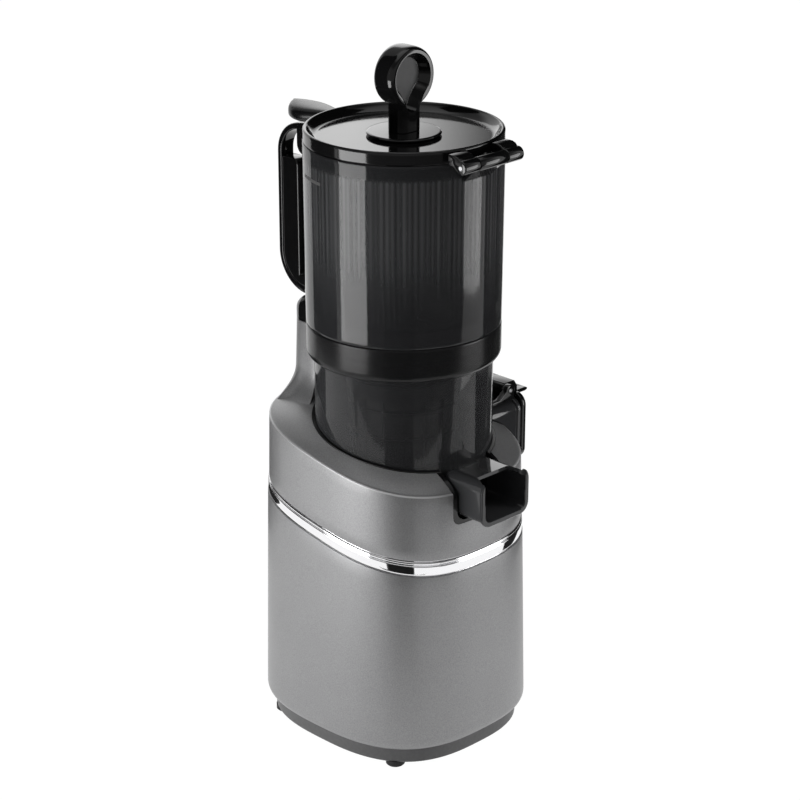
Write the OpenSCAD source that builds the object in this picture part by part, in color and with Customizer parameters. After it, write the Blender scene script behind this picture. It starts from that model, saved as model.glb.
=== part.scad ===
// Upright cold press juicer with a wide self-feeding hopper.
// The origin lies on the auger's axis at the level of the worktop. +Z is up, -Y is the front,
// and +X is the machine's own right hand side, where the juice spout stands out.

/* [Body] */
// Depth of the body at its foot, from which the bowl and the hopper take their size
body_d = 185.8; // [170:0.2:210]
// Distance from the bowl to the front of the body's foot
front_margin = 19.4; // [16:0.2:24]
// Distance from the bowl to the back of the body's foot, with room for the neck
rear_margin = 37.4; // [34:0.2:44]
// Distance from the bowl to either side of the body's foot
side_margin = 19.9; // [16:0.1:26]
// Squareness of the body's outline, where 2 is an ellipse
squareness = 2.74; // [2.4:0.02:3.4]
// Amount by which each side of the body draws in from the foot to the chrome band
body_draft = 2.9; // [0.5:0.1:4]
// Rise of the band and of the shoulder for each millimetre towards the back
slant = 0.186; // [0.1:0.002:0.22]
// Height of the chrome band's lower edge, above the auger's foot
band_z = 167.5; // [150:0.5:176]
// Height of the chrome band
band_h = 11.75; // [8:0.25:14]
// Height of the upper housing's side wall
side_h = 49.1; // [46:0.1:60]
// Rise of the shoulder from its crease to the well's rim
shoulder_rise = 7.75; // [5:0.25:12]
// Amount by which the upper housing draws in from the band to its crease
upper_draft = 0.9; // [0.4:0.1:2]
// Wall of the two housings
housing_wall = 2.6; // [2:0.1:3.4]

/* [Foot] */
// Height of the rubber feet below the plinth
foot_h = 4; // [3:0.5:7]
// Diameter of a rubber foot
foot_d = 14; // [10:0.5:18]
// Height of the plinth
plinth_h = 7; // [5:0.5:10]
// Inset of the plinth behind the housing
plinth_inset = 6; // [5.5:0.25:9]
// Height of the rounding round the housing's lower edge
edge_round_h = 8; // [6:0.5:14]

/* [Well] */
// Depth of the well below its rim on the auger's axis
well_depth = 52; // [49:0.5:56]
// Wall of the black liner
liner_wall = 2; // [1.6:0.1:2.6]
// Half width of the black saddle that holds each outlet
saddle_half_w = 28; // [27:0.5:34]

/* [Neck] */
// Width of the neck behind the hopper
neck_w = 50.8; // [44:0.4:56]
// Distance of the neck's back face in front of the back of the body's foot
neck_inset = 8.5; // [7:0.5:12]
// Height of the black cap on the neck
neck_cap_h = 17; // [12:0.5:22]
// Height of the flare where the neck runs out into the shoulder, above the shoulder's crease
flare_h = 41.6; // [30:0.2:50]
// Reach of the flare round the neck's foot
flare_reach = 21; // [12:0.5:26]

/* [Bowl] */
// Wall of the bowl and of its outlets
bowl_wall = 2.6; // [2:0.1:3]
// Height of the bowl
bowl_h = 120; // [112:1:130]
// Reach of the open pulp chute in front of the auger's axis
chute_reach = 101.6; // [96:0.2:106]
// Height of the pulp chute
chute_h = 35; // [30:0.5:40]
// Half width of the pulp chute
chute_half_w = 24.3; // [21:0.1:26]
// Depth of the cut-back in the chute's top wall, behind its mouth
chute_cut_back = 13.6; // [8:0.2:18]
// Height of the chute's underside above the bowl's underside
chute_rise = 7.8; // [7:0.2:14]
// Reach of the juice spout to the side of the auger's axis
spout_reach = 101; // [97:0.5:106]
// Height of the juice spout
spout_h = 44; // [38:0.5:45]
// Height of the spout's underside above the bowl's underside
spout_rise = 6.5; // [6:0.1:14]
// Half width of the juice spout and of its cap
spout_half_w = 23.3; // [20:0.1:25]
// Radius of the outlets' corners
outlet_corner = 9; // [6:0.5:11]

/* [Strainer and auger] */
// Outer radius of the strainer at its top
strainer_top_r = 42; // [40:0.5:46]
// Outer radius of the strainer at its foot
strainer_foot_r = 38; // [36:0.5:40]
// Height of the strainer
strainer_h = 91; // [86:1:94]
// Thickness of the strainer's frame
strainer_wall = 2.4; // [2:0.1:3]
// Thickness of the strainer's mesh
mesh_t = 0.6; // [0.5:0.1:0.9]
// Pitch of the auger's flights in the strainer
flight_pitch = 27; // [22:1:36]
// Radius of the auger's core at its foot
core_foot_r = 26; // [22:0.5:28]
// Radius of the auger's core at its top
core_top_r = 13; // [10:0.5:16]
// Width across the flats of the drive hexagon
hex_af = 12; // [10:0.5:12.5]

/* [Hopper] */
// Step from the bowl out to the lock collar and to the hopper's foot
collar_step = 4.8; // [4:0.1:6]
// Step from the hopper's foot out to its rim and to the lid
rim_step = 1.4; // [0.3:0.1:3]
// Height of the hopper
hopper_h = 131.3; // [110:0.5:150]
// Wall of the hopper
hopper_wall = 2.6; // [2:0.1:3.2]
// Height of the lock collar
collar_h = 25.3; // [22:0.5:30]
// Height by which the collar reaches over the bowl
collar_overlap = 10.4; // [7:0.2:12]
// Depth of the funnel at the hopper's foot
funnel_h = 12; // [8:0.5:14]

/* [Handle] */
// Depth of the handle behind the hopper's rim
handle_depth = 54.3; // [50:0.1:60]
// Width of the handle
handle_w = 12.6; // [10:0.2:18]
// Thickness of the handle's outer strap
strap_t = 4.6; // [3.6:0.2:6]
// Depth of the handle's grip inside the strap
grip_d = 17.6; // [14:0.2:20]
// Height of the handle's lower arm
handle_arm_h = 8.4; // [7:0.2:12]
// Radius of the strap's lower curve
handle_foot_round = 30; // [26:0.5:34]

/* [Lid] */
// Height of the lid's rim
lid_h = 9.3; // [8:0.1:12]
// Distance of the lid's hinge pin outside the hopper's rim
hinge_out = 11.3; // [10:0.1:16]
// Radius of the lid's hinge barrels
hinge_r = 5; // [4:0.25:6]
// Radius of both steel hinge pins
pin_r = 1.5; // [1.25:0.05:1.75]
// Half length of the lid's hinge
hinge_half = 29; // [25:0.5:32]
// Half length of the hopper's middle barrel
knuckle_half = 13.5; // [11:0.5:16]
// Reach of the thumb tab behind the auger's axis
tab_reach = 112.5; // [104:0.5:118]

/* [Pusher] */
// Height of the pusher's knob above its disc
knob_h = 59.8; // [50:0.1:70]
// Radius of the knob's round head
knob_r = 21; // [17:0.25:22]
// Thickness of the knob
knob_t = 19.5; // [14:0.5:20]
// Radius of the pusher's disc
disc_r = 26.5; // [25.5:0.25:30]
// Thickness of the pusher's disc
disc_t = 2.7; // [2:0.1:4]
// Radius of the plunger under the lid
plunger_r = 21.5; // [18:0.25:22]
// Length of the plunger
plunger_h = 34; // [24:1:62]

/* [Selector] */
// Radius of the selector knob on the back
selector_r = 17; // [14:0.5:20]
// Depth of the selector knob
selector_t = 13; // [10:0.5:16]
// Height of the selector's axis
selector_z = 96; // [80:1:112]

/* [Clearances] */
// Gap between pieces of one body that are pressed or snapped together
snap_gap = 0.15; // [0.1:0.01:0.2]
// Gap at rest between bodies that lift, swing or turn apart
seat_gap = 0.3; // [0.25:0.01:0.4]
// Gap at the side of a piece that slides or turns inside another
slide_gap = 0.4; // [0.35:0.01:0.5]
// Radial running clearance of a pin or a shaft in its bore
run_gap = 0.05; // [0.03:0.005:0.08]

/* [Hidden] */
$fn = 64;

// Overrun of every cut past the face that it opens
cut = 1;
// Points round the body's outline, and round the neck
body_points = 60;
neck_points = 48;

// Radii and reaches that follow from the body's depth
bowl_r = (body_d - front_margin - rear_margin) / 2;
body_back = (rear_margin - front_margin) / 2;
body_w = 2 * (bowl_r + side_margin);
hopper_foot_r = bowl_r + collar_step;
hopper_rim_r = hopper_foot_r + rim_step;
neck_reach = body_back + body_d / 2 - neck_inset;
handle_reach = hopper_rim_r + handle_depth;
hinge_reach = hopper_rim_r + hinge_out;

// Levels that the pieces share, from the worktop up
housing_z = foot_h + plinth_h;
rim_z = band_z + band_h + side_h + shoulder_rise;
well_z = rim_z - well_depth;
bowl_z = well_z + seat_gap;
bowl_top = bowl_z + bowl_h;
collar_z = bowl_top - collar_overlap;
collar_top = collar_z + collar_h;
hopper_z = collar_top + seat_gap;
hopper_top = hopper_z + hopper_h;
lid_z = hopper_top + seat_gap;
lid_top = lid_z + lid_h;
chute_z = bowl_z + chute_rise;
spout_z = bowl_z + spout_rise;

// Functions for the body's outline and for skins through rings

// A power that keeps the sign of its base
function signed_pow(v, p) = sign(v) * pow(abs(v), p);

// A closed outline with rounded corners, on a plane that may rise towards the back
function ring(half_w, half_d, mid_y, z, rise = 0, k = squareness, n = body_points) = [
    for (i = [0 : n - 1])
        let (a = 360 * i / n)
        let (y = mid_y + half_d * signed_pow(sin(a), 2 / k))
        [half_w * signed_pow(cos(a), 2 / k), y, z + rise * y]
];

// The body's outline, drawn in from its size at the foot
function body_ring(inset, z, rise = 0) =
    ring(body_w / 2 - inset, body_d / 2 - inset, body_back, z, rise);

// A closed skin through rings of equally many points, listed from the bottom up
module loft(rings) {
    n = len(rings[0]);
    top = (len(rings) - 1) * n;
    polyhedron(
        points = [for (r = rings) each r],
        faces = concat(
            [[for (i = [0 : n - 1]) i]],
            [for (j = [0 : len(rings) - 2], i = [0 : n - 1]) each
                let (a = j * n + i)
                let (b = j * n + (i + 1) % n)
                [[a, a + n, b], [b, a + n, b + n]]],
            [[for (i = [n - 1 : -1 : 0]) top + i]]
        )
    );
}

// Everything above or below a plane that rises towards the back
module above_slope(z, span) {
    rotate([atan(slant), 0, 0])
        translate([-span, -span, z * cos(atan(slant))])
            cube([2 * span, 2 * span, span]);
}

// A tube between two heights
module tube(r, inner_r, z, h) {
    translate([0, 0, z])
        difference() {
            cylinder(r = r, h = h);
            translate([0, 0, -cut])
                cylinder(r = inner_r, h = h + 2 * cut);
        }
}

// A flat outline of a rounded rectangle round the origin
module round_rect(half_x, half_y, r) {
    square([2 * half_x, 2 * (half_y - r)], center = true);
    square([2 * (half_x - r), 2 * half_y], center = true);
    for (x = [-1, 1], y = [-1, 1])
        translate([x * (half_x - r), y * (half_y - r)])
            circle(r = r);
}

// A prism along +X with rounded corners, as wide as 2 half_w and between two heights
module prism_x(x, length, half_w, z, h, r) {
    translate([x, 0, z + h / 2])
        rotate([90, 0, 90])
            linear_extrude(length)
                round_rect(half_w, h / 2, r);
}

// The same outlet shape, turned to face the front
module to_front() {
    rotate([0, 0, -90])
        children();
}

// Body and foot

foot_pocket = 1;
foot_corner = 2;
foot_place_shares = [0.7, 0.64];
foot_x = foot_place_shares.x * body_w / 2;
foot_y = foot_place_shares.y * body_d / 2;
plate_step_h = 2;
plate_edge = 2;
edge_inset = 5;
plate_step_inset = edge_inset + housing_wall + snap_gap;
post_r = 5;
post_h = 26;
post_web_t = 3;
post_web_l = body_w / 4;
post_share = 0.75;
post_x = post_share * (body_w / 2 - plate_step_inset);
post_y = post_share * (body_d / 2 - plate_step_inset);
screw_r = 1.75;
screw_head_r = 3.4;
screw_head_h = 2.6;
screw_l = 20;
vent_w = 3;
vent_l = 34;
vent_pitch = 8;
vent_count = 7;
vent_y = 34;

module at_feet() {
    for (x = [-foot_x, foot_x], y = [-foot_y, foot_y])
        translate([x, body_back + y, 0])
            children();
}

module at_posts() {
    for (x = [-post_x, post_x], y = [-post_y, post_y])
        translate([x, body_back + y, 0])
            children();
}

// Rubber disc with a rounded lower edge, pressed into the plate's pocket
module foot_pads() color("#141414") {
    at_feet()
        rotate_extrude()
            polygon([
                [0, 0],
                [foot_d / 2 - foot_corner / 2, 0],
                [foot_d / 2, foot_corner / 2],
                [foot_d / 2, foot_h + foot_pocket],
                [0, foot_h + foot_pocket]
            ]);
}

// Dark plinth that closes the body from below
module base_plate() color("#4c4c4e") {
    difference() {
        union() {
            loft([
                body_ring(plinth_inset + plate_edge, foot_h),
                body_ring(plinth_inset + plate_edge / 3, foot_h + plate_edge / 3),
                body_ring(plinth_inset, foot_h + plate_edge),
                body_ring(plinth_inset, housing_z)
            ]);
            translate([0, 0, housing_z])
                linear_extrude(plate_step_h)
                    polygon([for (p = body_ring(plate_step_inset, 0)) [p.x, p.y]]);
            board_stands();
        }
        at_feet()
            translate([0, 0, foot_h - cut])
                cylinder(d = foot_d + 2 * snap_gap, h = foot_pocket + cut);
        at_posts() {
            translate([0, 0, foot_h - cut])
                cylinder(r = screw_r + snap_gap, h = housing_z);
            translate([0, 0, foot_h - cut])
                cylinder(r = screw_head_r + slide_gap, h = screw_head_h + cut + plate_edge);
        }
        for (side = [-1, 1], i = [0 : vent_count - 1])
            translate([
                (i - (vent_count - 1) / 2) * vent_pitch - vent_w / 2,
                body_back + side * vent_y - vent_l / 2,
                foot_h - cut
            ])
                cube([vent_w, vent_l, housing_z + cut]);
    }
}

// Screws that hold the plinth to the housing's posts
module base_screws() color("#b8babd") {
    at_posts()
        translate([0, 0, foot_h + plate_edge])
            difference() {
                union() {
                    cylinder(r = screw_head_r, h = screw_head_h);
                    cylinder(r = screw_r, h = screw_l);
                }
                translate([0, 0, -cut])
                    cylinder(r = screw_r, h = screw_head_h / 2 + cut, $fn = 6);
            }
}

// Sides of the lower housing, from its rolled lower edge to the band
function lower_rings(inset, low) = [
    body_ring(edge_inset + inset, housing_z - low),
    for (a = [25, 50, 70])
        body_ring(edge_inset * (1 - sin(a)) + inset, housing_z + edge_round_h * (1 - cos(a))),
    body_ring(inset, housing_z + edge_round_h),
    body_ring(body_draft + inset, band_z + (low > 0 ? cut : 0), slant)
];

rear_y = body_back + body_d / 2;
gland_z = 34;
gland_x = 0;
gland_r = 9;
bezel_rim = 5;
bezel_step = 2.5;
bezel_r = selector_r + bezel_rim;
bezel_neck_r = bezel_r - bezel_step;
bezel_seat = 2.1;

// Satin grey shell round the motor
module lower_housing() color("#8b8c8f") {
    difference() {
        loft(lower_rings(0, 0));
        loft(lower_rings(housing_wall, cut));
        translate([0, rear_y + cut, selector_z])
            rotate([90, 0, 0])
                cylinder(r = bezel_neck_r + snap_gap, h = 2 * housing_wall + 4 * cut);
        translate([0, rear_y + cut, selector_z])
            rotate([90, 0, 0])
                cylinder(r = bezel_r + snap_gap, h = bezel_seat + cut);
        translate([gland_x, rear_y + cut, gland_z])
            rotate([90, 0, 0])
                cylinder(r = gland_r + snap_gap, h = 4 * housing_wall + 4 * cut);
    }
    intersection() {
        loft(lower_rings(0.5 * housing_wall, 0));
        for (x = [-1, 1], y = [-1, 1])
            translate([x * post_x, body_back + y * post_y, housing_z + plate_step_h + snap_gap])
                difference() {
                    union() {
                        cylinder(r = post_r, h = post_h);
                        rotate([0, 0, y * (90 - x * 45)])
                            translate([post_r / 2, -post_web_t / 2, cut])
                                cube([post_web_l, post_web_t, post_h - 2 * cut]);
                    }
                    translate([0, 0, -cut])
                        cylinder(r = screw_r + run_gap, h = post_h + 2 * cut);
                }
    }
}

trim_lip = 0.96;
// The band's profile: shares of the lip drawn in, and of the band's height
trim_shares = [
    [2.2, 0], [1.3, 0.06], [1.3, 0.13], [1.9, 0.16], [1.0, 0.24], [0.6, 0.42], [0.9, 0.6],
    [1.7, 0.72], [2.4, 0.75], [2.4, 0.83], [0.9, 0.86], [0.7, 0.95], [1.4, 1]
];

// Chrome band with a thin bead above, a groove and a wide rounded strip below
module trim_ring() color("#e4e6e8") {
    difference() {
        loft([
            for (p = trim_shares)
                body_ring(body_draft + trim_lip * p[0], band_z + band_h * p[1], slant)
        ]);
        loft([
            body_ring(body_draft + housing_wall + 1.6 * trim_lip, band_z - cut, slant),
            body_ring(body_draft + housing_wall + 1.6 * trim_lip, band_z + band_h + cut, slant)
        ]);
    }
}

// Upper housing, well and neck

crease_inset = 2.6;
crease_z = band_z + band_h + side_h;
side_step = 1;
upper_inset = body_draft + side_step;
side_inset = upper_inset + upper_draft;
liner_r = bowl_r + slide_gap + liner_wall;
well_r = liner_r + snap_gap;
well_lap = 0.6;
sleeve_wall = 2.4;
liner_flange_t = 3;
sleeve_z = well_z + liner_flange_t;
liner_floor_t = 3.5;
liner_flange_w = 6;
liner_flange_r = liner_r + liner_flange_w;
saddle_corner = 6;
saddle_drop = 2.9;
saddle_reach = sqrt(pow(well_r, 2) - pow(saddle_half_w + snap_gap, 2)) - cut;
neck_gap = 1.2;
neck_lap = 12.5;
neck_squareness = 3.6;
neck_draft = 0.9;
neck_rim_t = 1.8;
neck_rim_l = 9;
neck_rim_drop = 1.2;
neck_inner_r = hopper_foot_r + neck_gap;
neck_foot_y = neck_inner_r - neck_lap;
neck_mid_y = (neck_reach + neck_foot_y) / 2;
neck_half_d = (neck_reach - neck_foot_y) / 2;
neck_cap_top = hopper_z + 0.8 * seat_gap;
neck_top = neck_cap_top - neck_cap_h;
flare_top = crease_z + flare_h;
flare_sink = 0.5;
flare_run = 9;
flare_pulls = [0.55, 0.5];

// Rings of the upper housing: its side, its rolled crease and its sloping shoulder
function upper_rings(inset, low) = [
    body_ring(upper_inset + inset, band_z + band_h - low, slant),
    body_ring(side_inset + inset, crease_z - crease_inset, slant),
    for (a = [30, 60])
        body_ring(
            side_inset + inset + crease_inset * (1 - cos(a)),
            crease_z - crease_inset * (1 - sin(a)) - (low > 0 ? inset : 0),
            slant
        ),
    body_ring(side_inset + inset + crease_inset, crease_z - (low > 0 ? inset : 0), slant),
    ring(
        well_r - well_lap + 0.4 * inset, well_r - well_lap + 0.4 * inset, 0,
        rim_z - (low > 0 ? 1.2 * inset : 0), slant, 2
    )
];

// The cut that takes an outlet's saddle, towards +X, with its lower edge at a height
module saddle_notch(saddle_z, grow) {
    translate([saddle_reach, 0, 0])
        rotate([90, 0, 90])
            linear_extrude(body_d)
                difference() {
                    translate([-saddle_half_w - grow, saddle_z - grow])
                        square([2 * (saddle_half_w + grow), rim_z]);
                    for (side = [-1, 1])
                        translate([side * (saddle_half_w + grow), saddle_z - grow])
                            difference() {
                                square(2 * saddle_corner, center = true);
                                translate([-side * saddle_corner, saddle_corner])
                                    circle(r = saddle_corner);
                                translate([-side * saddle_corner - (side > 0 ? 2 * saddle_corner : 0), 0])
                                    square([2 * saddle_corner, 4 * saddle_corner]);
                                translate([-2 * saddle_corner, saddle_corner])
                                    square(4 * saddle_corner);
                            }
                }
}

// Outline of the neck
function neck_ring(grow, z) =
    ring(
        neck_w / 2 + grow, neck_half_d + grow, neck_mid_y, z, 0, neck_squareness, neck_points
    );

// Direction straight out of the neck's wall at a point of its outline
function neck_out(q) =
    let (gx = signed_pow(q.x / neck_w, neck_squareness - 1) / neck_w)
    let (gy = signed_pow((q.y - neck_mid_y) / neck_half_d / 2, neck_squareness - 1) / neck_half_d / 2)
    [gx, gy] / norm([gx, gy]);

// Size of a point against the body's outline, where 1 lies on the housing's side
function body_reach(q) =
    pow(
        pow(abs(q.x) / (body_w / 2 - side_inset - flare_sink), squareness)
            + pow(abs(q.y - body_back) / (body_d / 2 - side_inset - flare_sink), squareness),
        1 / squareness
    );

// How far a foot point of the flare lies on the housing's side and not on the shoulder
function side_share(reach) =
    let (t = max(0, min(1, 10 * (reach - 0.9))))
    t * t * (3 - 2 * t);

// Foot of the flare under a point of the neck's outline
function flare_foot(q) =
    let (far = [q.x, q.y] + flare_reach * neck_out(q))
    let (reach = body_reach(far))
    let (w = side_share(reach))
    let (x = far.x / max(1, reach))
    let (y = body_back + (far.y - body_back) / max(1, reach))
    let (shoulder = shoulder_rise * max(0, min(1, 3 * (1 - reach))) - flare_sink)
    [x, y, crease_z + slant * y + (1 - w) * shoulder - w * (crease_inset + flare_run)];

// A point of the flare's curve, from its foot at 0 to the neck's wall at 1
function flare_point(q, t) =
    let (foot = flare_foot(q))
    let (w = side_share(body_reach([q.x, q.y] + flare_reach * neck_out(q))))
    let (rise = flare_top - foot.z)
    let (back = (1 - w) * flare_pulls[0] * ([q.x, q.y] - [foot.x, foot.y]))
    let (low = foot + [back.x, back.y, w * flare_pulls[1] * rise])
    let (high = [q.x, q.y, flare_top - flare_pulls[1] * rise])
    pow(1 - t, 3) * foot + 3 * pow(1 - t, 2) * t * low + 3 * (1 - t) * t * t * high
        + pow(t, 3) * [q.x, q.y, flare_top];

// Neck that rises from the shoulder and hugs the hopper's collar
module neck_solid() {
    wall = neck_ring(neck_draft, flare_top);
    loft([
        [for (q = wall) let (f = flare_foot(q)) [
            f.x - housing_wall * neck_out(q).x,
            f.y - housing_wall * neck_out(q).y,
            band_z + band_h + cut + slant * f.y
        ]],
        for (t = [0 : 0.125 : 1])
            [for (q = wall) flare_point(q, t)],
        neck_ring(0, neck_top)
    ]);
    intersection() {
        difference() {
            neck_cap_form(0, neck_top - cut);
            neck_cap_form(neck_rim_t, neck_top - 2 * cut);
        }
        translate([-neck_w, neck_reach - neck_rim_l, neck_top - cut])
            cube([2 * neck_w, neck_w, neck_cap_h + cut - neck_rim_drop]);
    }
}

// Rounded form of the neck's top, drawn in all round by an amount
module neck_cap_form(inset, low) {
    loft([
        neck_ring(-inset, low),
        neck_ring(-inset, neck_top + neck_cap_h / 2),
        for (a = [20, 40, 60, 78])
            neck_ring(
                -inset - cap_round_share * neck_cap_h * (1 - cos(a)),
                neck_top + (1 + sin(a)) * neck_cap_h / 2
            )
    ]);
}

// Satin grey shell with the sloping shoulder, the well and the neck
module upper_housing() color("#8b8c8f") {
    difference() {
        union() {
            loft(upper_rings(0, 0));
            neck_solid();
        }
        difference() {
            loft(upper_rings(housing_wall, cut));
            translate([0, 0, sleeve_z])
                cylinder(r = well_r + sleeve_wall, h = rim_z);
        }
        cylinder(r = well_r, h = 2 * rim_z);
        translate([0, 0, rim_z])
            cylinder(r = neck_inner_r, h = rim_z);
        saddle_notch(spout_z - saddle_drop, snap_gap);
        to_front()
            saddle_notch(chute_z - saddle_drop, snap_gap);
    }
}

seal_r = 11;
seal_t = 2.4;
shaft_r = 6;
boss_r = 14;

// Black cup that lines the well and carries the bowl
module well_liner() color("#171717") {
    difference() {
        union() {
            translate([0, 0, well_z - liner_floor_t])
                cylinder(r = liner_r, h = rim_z);
            translate([0, 0, well_z - liner_floor_t])
                cylinder(r = liner_flange_r, h = liner_floor_t + liner_flange_t - snap_gap);
        }
        translate([0, 0, well_z])
            cylinder(r = bowl_r + slide_gap, h = 2 * rim_z);
        above_slope(rim_z + 0.4 * liner_wall, 2 * body_d);
        translate([0, 0, well_z - seal_t])
            cylinder(r = seal_r + snap_gap, h = seal_t + cut);
        translate([0, 0, well_z - liner_floor_t - cut])
            cylinder(r = seal_r - 2 * liner_wall, h = liner_floor_t + 2 * cut);
        outlet_slot(spout_z, spout_half_w);
        to_front()
            outlet_slot(chute_z, chute_half_w);
        at_gearbox_screws()
            translate([0, 0, well_z - liner_floor_t - cut])
                cylinder(r = screw_r + snap_gap, h = liner_floor_t + 2 * cut);
        at_gearbox_screws()
            translate([0, 0, well_z - screw_head_h])
                cylinder(r = screw_head_r + snap_gap, h = screw_head_h + cut);
    }
}

// Open-topped slot in the liner and saddles through which an outlet drops
module outlet_slot(z, half_w) {
    translate([boss_r, -half_w - slide_gap, z - slide_gap])
        cube([body_d, 2 * (half_w + slide_gap), rim_z]);
}

// Black saddle flush with the shoulder, round an outlet
module saddle(z, half_w) {
    difference() {
        intersection() {
            saddle_notch(z - saddle_drop, 0);
            children();
        }
        cylinder(r = liner_r + snap_gap, h = 2 * rim_z);
        outlet_slot(z, half_w);
    }
}

module front_saddle() color("#171717") {
    to_front()
        saddle(chute_z, chute_half_w)
            rotate([0, 0, 90])
                loft(upper_rings(0, 0));
}

module side_saddle() color("#171717") {
    saddle(spout_z, spout_half_w)
        loft(upper_rings(0, 0));
}

cap_wall = 2.2;
cap_step = 0.3;
cap_round_share = 0.45;

// Rounded black cap on the neck, under the handle's foot and inside the housing's thin back rim
module neck_cap() color("#1a1a1a") {
    difference() {
        neck_cap_form(cap_step, neck_top + snap_gap);
        difference() {
            translate([-neck_w, neck_reach - neck_rim_l - snap_gap, neck_top - cut])
                cube([2 * neck_w, neck_w, neck_cap_h + cut - neck_rim_drop + snap_gap]);
            neck_cap_form(neck_rim_t + snap_gap, neck_top - 2 * cut);
        }
        translate([0, 0, neck_top - cut])
            cylinder(r = neck_inner_r, h = 2 * neck_cap_h);
        translate([0, (neck_inner_r + neck_reach) / 2, neck_top - cut])
            linear_extrude(cut + neck_cap_h - 2 * cap_wall)
                round_rect(reed_l / 2 + cap_wall, reed_r + cap_wall, reed_r);
    }
}

reed_l = 20;
reed_r = 2.6;

// Sealed reed switch that senses the magnet in the handle's foot
module reed_switch() color("#2b5a34") {
    translate([-reed_l / 2, (neck_inner_r + neck_reach) / 2, neck_cap_top - 2 * cap_wall - reed_r - snap_gap])
        rotate([0, 90, 0])
            cylinder(r = reed_r, h = reed_l);
}

// Drive

gearbox_r = 50;
gearbox_h = 42;
gearbox_z = well_z - liner_floor_t - gearbox_h;
gearbox_flange_t = 4;
gearbox_rib_count = 12;
motor_r = 44;
motor_nose_share = 0.8;
motor_h = 88;
motor_z = gearbox_z - motor_h;
gearbox_screw_share = 0.8;
gearbox_screw_ring_r = gearbox_screw_share * gearbox_r;
rib_t = 2.4;

module at_gearbox_screws() {
    for (i = [0 : 3])
        rotate([0, 0, 45 + 90 * i])
            translate([gearbox_screw_ring_r, 0, 0])
                children();
}

// Cast reduction gearbox bolted under the well
module gearbox() color("#6d7073") {
    difference() {
        union() {
            translate([0, 0, gearbox_z])
                cylinder(r = gearbox_r - 2 * rib_t, h = gearbox_h);
            translate([0, 0, gearbox_z + gearbox_h - gearbox_flange_t])
                cylinder(r = gearbox_r, h = gearbox_flange_t);
            translate([0, 0, gearbox_z])
                cylinder(r = gearbox_r, h = gearbox_flange_t);
            for (i = [0 : gearbox_rib_count - 1])
                rotate([0, 0, 360 * i / gearbox_rib_count])
                    translate([gearbox_r - 3 * rib_t, -rib_t / 2, gearbox_z])
                        cube([2.6 * rib_t, rib_t, gearbox_h]);
        }
        translate([0, 0, gearbox_z + gearbox_h - shaft_root])
            cylinder(r = shaft_r + run_gap, h = shaft_root + cut);
        at_gearbox_screws()
            translate([0, 0, gearbox_z + gearbox_h - screw_l])
                cylinder(r = screw_r + run_gap, h = screw_l + cut);
    }
}

shaft_root = 24;

// Screws through the well's floor into the gearbox
module gearbox_screws() color("#b8babd") {
    at_gearbox_screws()
        translate([0, 0, well_z])
            difference() {
                union() {
                    translate([0, 0, -screw_head_h])
                        cylinder(r = screw_head_r, h = screw_head_h);
                    translate([0, 0, -screw_l + cut])
                        cylinder(r = screw_r, h = screw_l - cut);
                }
                translate([0, 0, -screw_head_h / 2])
                    cylinder(r = screw_r, h = screw_head_h, $fn = 6);
            }
}

// Motor can with a ribbed lower bell
module motor() color("#7c7f82") {
    difference() {
        union() {
            translate([0, 0, motor_z + motor_r / 4])
                cylinder(r = motor_r, h = motor_h - motor_r / 4);
            translate([0, 0, motor_z])
                cylinder(r1 = motor_nose_share * motor_r, r2 = motor_r, h = motor_r / 4);
        }
        for (i = [0 : gearbox_rib_count - 1])
            rotate([0, 0, 360 * i / gearbox_rib_count])
                translate([motor_r - rib_t, -rib_t, motor_z + motor_r / 2])
                    cube([2 * rib_t, 2 * rib_t, motor_h / 2]);
    }
}

// Rubber lip seal round the output shaft
module shaft_seal() color("#202020") {
    tube(seal_r, shaft_r + run_gap, well_z - seal_t, seal_t);
}

hex_r = hex_af / 2 / cos(30);
hex_h = 28;
hex_top = bowl_z + hex_h;
hex_nose = 2;
hex_nose_share = 0.7;

// Output shaft with its drive hexagon
module drive_shaft() color("#c2c4c7") {
    translate([0, 0, gearbox_z + gearbox_h - shaft_root + snap_gap])
        cylinder(r = shaft_r, h = shaft_root + liner_floor_t + seat_gap);
    translate([0, 0, bowl_z])
        cylinder(r = hex_r, h = hex_top - bowl_z - hex_nose, $fn = 6);
    translate([0, 0, hex_top - hex_nose])
        cylinder(r1 = hex_af / 2, r2 = hex_nose_share * hex_af / 2, h = hex_nose);
}

// Electrics

board_w = 84;
board_d = 62;
board_t = 1.6;
board_stand_h = 6;
board_z = housing_z + plate_step_h + board_stand_h;
stand_r = 3;
board_margin = 5;

module board_stands() {
    for (x = [-1, 1], y = [-1, 1])
        translate([
            x * (board_w / 2 - board_margin), body_back + y * (board_d / 2 - board_margin),
            housing_z
        ])
            cylinder(r = stand_r, h = plate_step_h + board_stand_h);
}

// Motor control board with its relay, capacitor and heat sink
module control_board() color("#2f6b3c") {
    translate([-board_w / 2, body_back - board_d / 2, board_z])
        cube([board_w, board_d, board_t]);
    translate([-board_w / 3, body_back - board_d / 3, board_z + board_t])
        cube([board_margin * 4, board_margin * 3, board_margin * 2]);
    translate([board_w / 4, body_back, board_z + board_t])
        cylinder(r = board_margin, h = board_margin * 2.4);
    for (i = [0 : 3])
        translate([-board_w / 8 + i * board_margin, body_back + board_d / 6, board_z + board_t])
            cube([board_t, board_margin * 2, board_margin * 2]);
}

cord_r = 3.8;
gland_lip = 2;
gland_l = 14;

// Rubber gland in the back wall where the mains lead enters
module cord_gland() color("#161616") {
    translate([gland_x, rear_y + gland_lip, gland_z])
        rotate([90, 0, 0])
            difference() {
                union() {
                    cylinder(r1 = gland_r + gland_lip / 2, r2 = gland_r + gland_lip, h = gland_lip);
                    cylinder(r = gland_r, h = gland_l);
                }
                translate([0, 0, -cut])
                    cylinder(r = cord_r, h = gland_l + 2 * cut);
            }
}

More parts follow.
